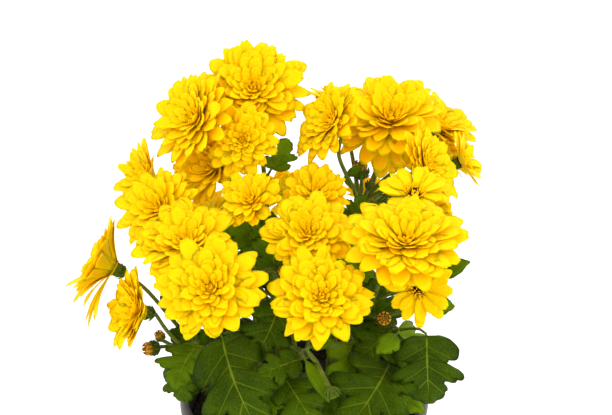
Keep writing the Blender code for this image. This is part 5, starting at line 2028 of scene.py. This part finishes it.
@dataclass
class Soil:
    """Peat that fills the pot, crumbly on top."""

    radius: float = 58.4
    foot_radius: float = 45.2
    foot: float = 2.7
    sunk: float = 1.6
    sides: int = 120
    rings: int = 44
    crumbs: int = 420

    def height(self, x: np.ndarray, y: np.ndarray) -> np.ndarray:
        """The top's height: products of sine waves, long ones for lumps and short ones for clods.

        Args:
            x: places across.
            y: places in depth.

        Returns:
            Heights over the pot's base.
        """
        slow = 1.6 * (np.sin(0.31 * x + 1.3) * np.cos(0.27 * y) + 0.5 * np.sin(0.19 * (x - y)))
        fine = 0.5 * np.sin(1.3 * x + 2 * np.sin(0.9 * y)) * np.cos(1.1 * y + 1.7 * np.sin(0.7 * x))
        return SOIL_TOP + slow + fine + 0.3 * np.sin(2.9 * x) * np.sin(3.1 * y + x)

    def build(self, finish: bpy.types.Material) -> bpy.types.Object:
        """A turned body with a lumpy top, and small crumbs sunk in it.

        Args:
            finish: the peat.

        Returns:
            The piece.
        """
        heap = Heap()
        turn = np.linspace(0, 2 * math.pi, self.sides, endpoint=False)
        low = np.array([(0.02, self.foot), (self.foot_radius, self.foot), (self.radius - 0.6, SOIL_TOP - 3.0)])
        radii = np.concatenate([low[:, 0], np.linspace(self.radius, 0.02, self.rings)])[:, None]
        x = radii * np.cos(turn)
        y = radii * np.sin(turn)
        # The top sinks towards the wall over its last tenth; the rings below it keep their own heights
        edge = np.clip((radii - self.radius * 0.9) / (self.radius * 0.1), 0, 1) * self.sunk
        z = self.height(x, y) - edge
        z[: len(low)] = low[:, 1:]
        skin = np.stack([x, y, z], axis=-1).reshape(-1, 3)
        heap.add(skin, grid_faces(len(radii), self.sides, closed=True), np.zeros((len(skin), 2)))
        rng = np.random.default_rng(5)
        angle = rng.uniform(0, 2 * math.pi, self.crumbs)
        reach = np.sqrt(rng.uniform(0, 1, self.crumbs)) * (self.radius - 3)
        centre = np.stack([reach * np.cos(angle), reach * np.sin(angle), 0 * reach], axis=1)
        size = rng.uniform(0.7, 1.9, self.crumbs)
        centre[:, 2] = self.height(centre[:, 0], centre[:, 1]) + size * 0.1
        # A crumb is a ball of five rings of six, each point moved in or out at random
        polar = np.linspace(0, math.pi, 5)
        ball = np.stack(np.broadcast_arrays(
            np.sin(polar)[:, None] * np.cos(np.arange(6) * math.pi / 3),
            np.sin(polar)[:, None] * np.sin(np.arange(6) * math.pi / 3),
            -np.cos(polar)[:, None] * np.ones(6),
        ), axis=-1).reshape(-1, 3)  # fmt: skip
        rough = rng.uniform(0.7, 1.25, (self.crumbs, len(ball), 1))
        rough[:, :6] = 1.0
        rough[:, -6:] = 1.0
        bits = centre[:, None] + ball[None] * size[:, None, None] * rough
        faces = grid_faces(5, 6, closed=True)[None] + (np.arange(self.crumbs) * len(ball))[:, None, None]
        bits = bits.reshape(-1, 3)
        heap.add(bits, faces.reshape(-1, 4), np.zeros((len(bits), 2)))
        return attach(heap.piece("soil_peat", finish), "peat_soil", "soil")


# --------------------------------------------------------------------------- studio


@dataclass
class Studio:
    """White paper, soft light and the photograph's camera.

    The lens and the sensor give 0.49 mm to a pixel at the target, over 612 pixels. The paper's half side
    is in metres, and the sky is a plain white of that strength.
    """

    target: Vec = (1.0, 0.0, 223.0)
    distance: float = 800.0
    elevation: float = 30.0
    lens: float = 96.04
    sensor: float = 36.0
    sky: float = 1.42
    paper: float = 4.0

    # Name, place, side of the square and watts
    LIGHTS = (
        ("key", (-500.0, -650.0, 1100.0), 700.0, 3.0),
        ("fill", (800.0, -500.0, 700.0), 800.0, 2.0),
        ("back", (200.0, 800.0, 900.0), 700.0, 2.0),
    )

    def light(self, name: str, place: Vec, size: float, power: float) -> None:
        """A square soft light that looks at the plant.

        Args:
            name: the light's name.
            place: where it stands, in millimetres.
            size: the side of its square, in millimetres.
            power: watts.
        """
        lamp = bpy.data.lights.new(name, "AREA")
        lamp.size = size * MM
        lamp.energy = power
        stand = bpy.data.objects.new(name, lamp)
        stand.location = Vector(place) * MM
        stand.rotation_mode = "QUATERNION"
        stand.rotation_quaternion = (stand.location - Vector(self.target) * MM).to_track_quat("Z", "Y")
        bpy.context.scene.collection.objects.link(stand)

    def build(self) -> None:
        """Floor, lights, surroundings and camera."""
        scene = bpy.context.scene
        scene.view_settings.view_transform = "Standard"
        mesh = bpy.data.meshes.new("paper")
        half = self.paper
        mesh.from_pydata([(-half, -half, 0), (half, -half, 0), (half, half, 0), (-half, half, 0)], [], [(0, 1, 2, 3)])
        mesh.materials.append(PAPER.make())
        floor = bpy.data.objects.new("paper", mesh)
        scene.collection.objects.link(floor)
        world = bpy.data.worlds.new("studio")
        scene.world = world
        world.use_nodes = True
        sky = world.node_tree.nodes["Background"]
        sky.inputs["Color"].default_value = (1.0, 1.0, 1.0, 1.0)
        sky.inputs["Strength"].default_value = self.sky
        for name, place, size, power in self.LIGHTS:
            self.light(name, place, size, power)
        camera = bpy.data.cameras.new("camera")
        camera.lens = self.lens
        camera.sensor_width = self.sensor
        view = bpy.data.objects.new("camera", camera)
        angle = math.radians(self.elevation)
        back = Vector((0.0, -math.cos(angle), math.sin(angle)))
        view.location = (Vector(self.target) + back * self.distance) * MM
        view.rotation_mode = "QUATERNION"
        view.rotation_quaternion = back.to_track_quat("Z", "Y")
        scene.collection.objects.link(view)
        scene.camera = view


def corners(box: tuple[Vector, Vector]) -> list[list[float]]:
    """A box as plain lists of metres."""
    return [[round(float(c), 5) for c in corner] for corner in box]


def main() -> None:
    """Builds blooms, plants, buds, pot, soil and studio."""
    logging.basicConfig(level=logging.INFO, format="%(message)s")
    petal = PETAL.make()
    blooms = [Bloom(*row, seed=k) for k, row in enumerate(BLOOMS)]
    part_blooms(blooms)
    for bloom in blooms:
        bloom.build(petal)
    plants = Grower(blooms).grow()
    stem, cup, leaf, down = STEM.make(), CUP.make(), LEAF.make(), DOWN.make()
    for plant in plants.values():
        plant.skin_stems(stem)
        plant.skin_cups(cup)
        plant.skin_leaves(leaf)
        plant.skin_down(down)
    closed = BUD_PETAL.make()
    for name, place, facing, radius, shows, _ in BUDS:
        if shows:
            Bud(name, np.array(place, float), unit(facing), radius).build(closed)
    Pot().build(POT.make())
    Soil().build(SOIL.make())
    Studio().build()
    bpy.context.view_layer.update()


if __name__ == "__main__":
    main()
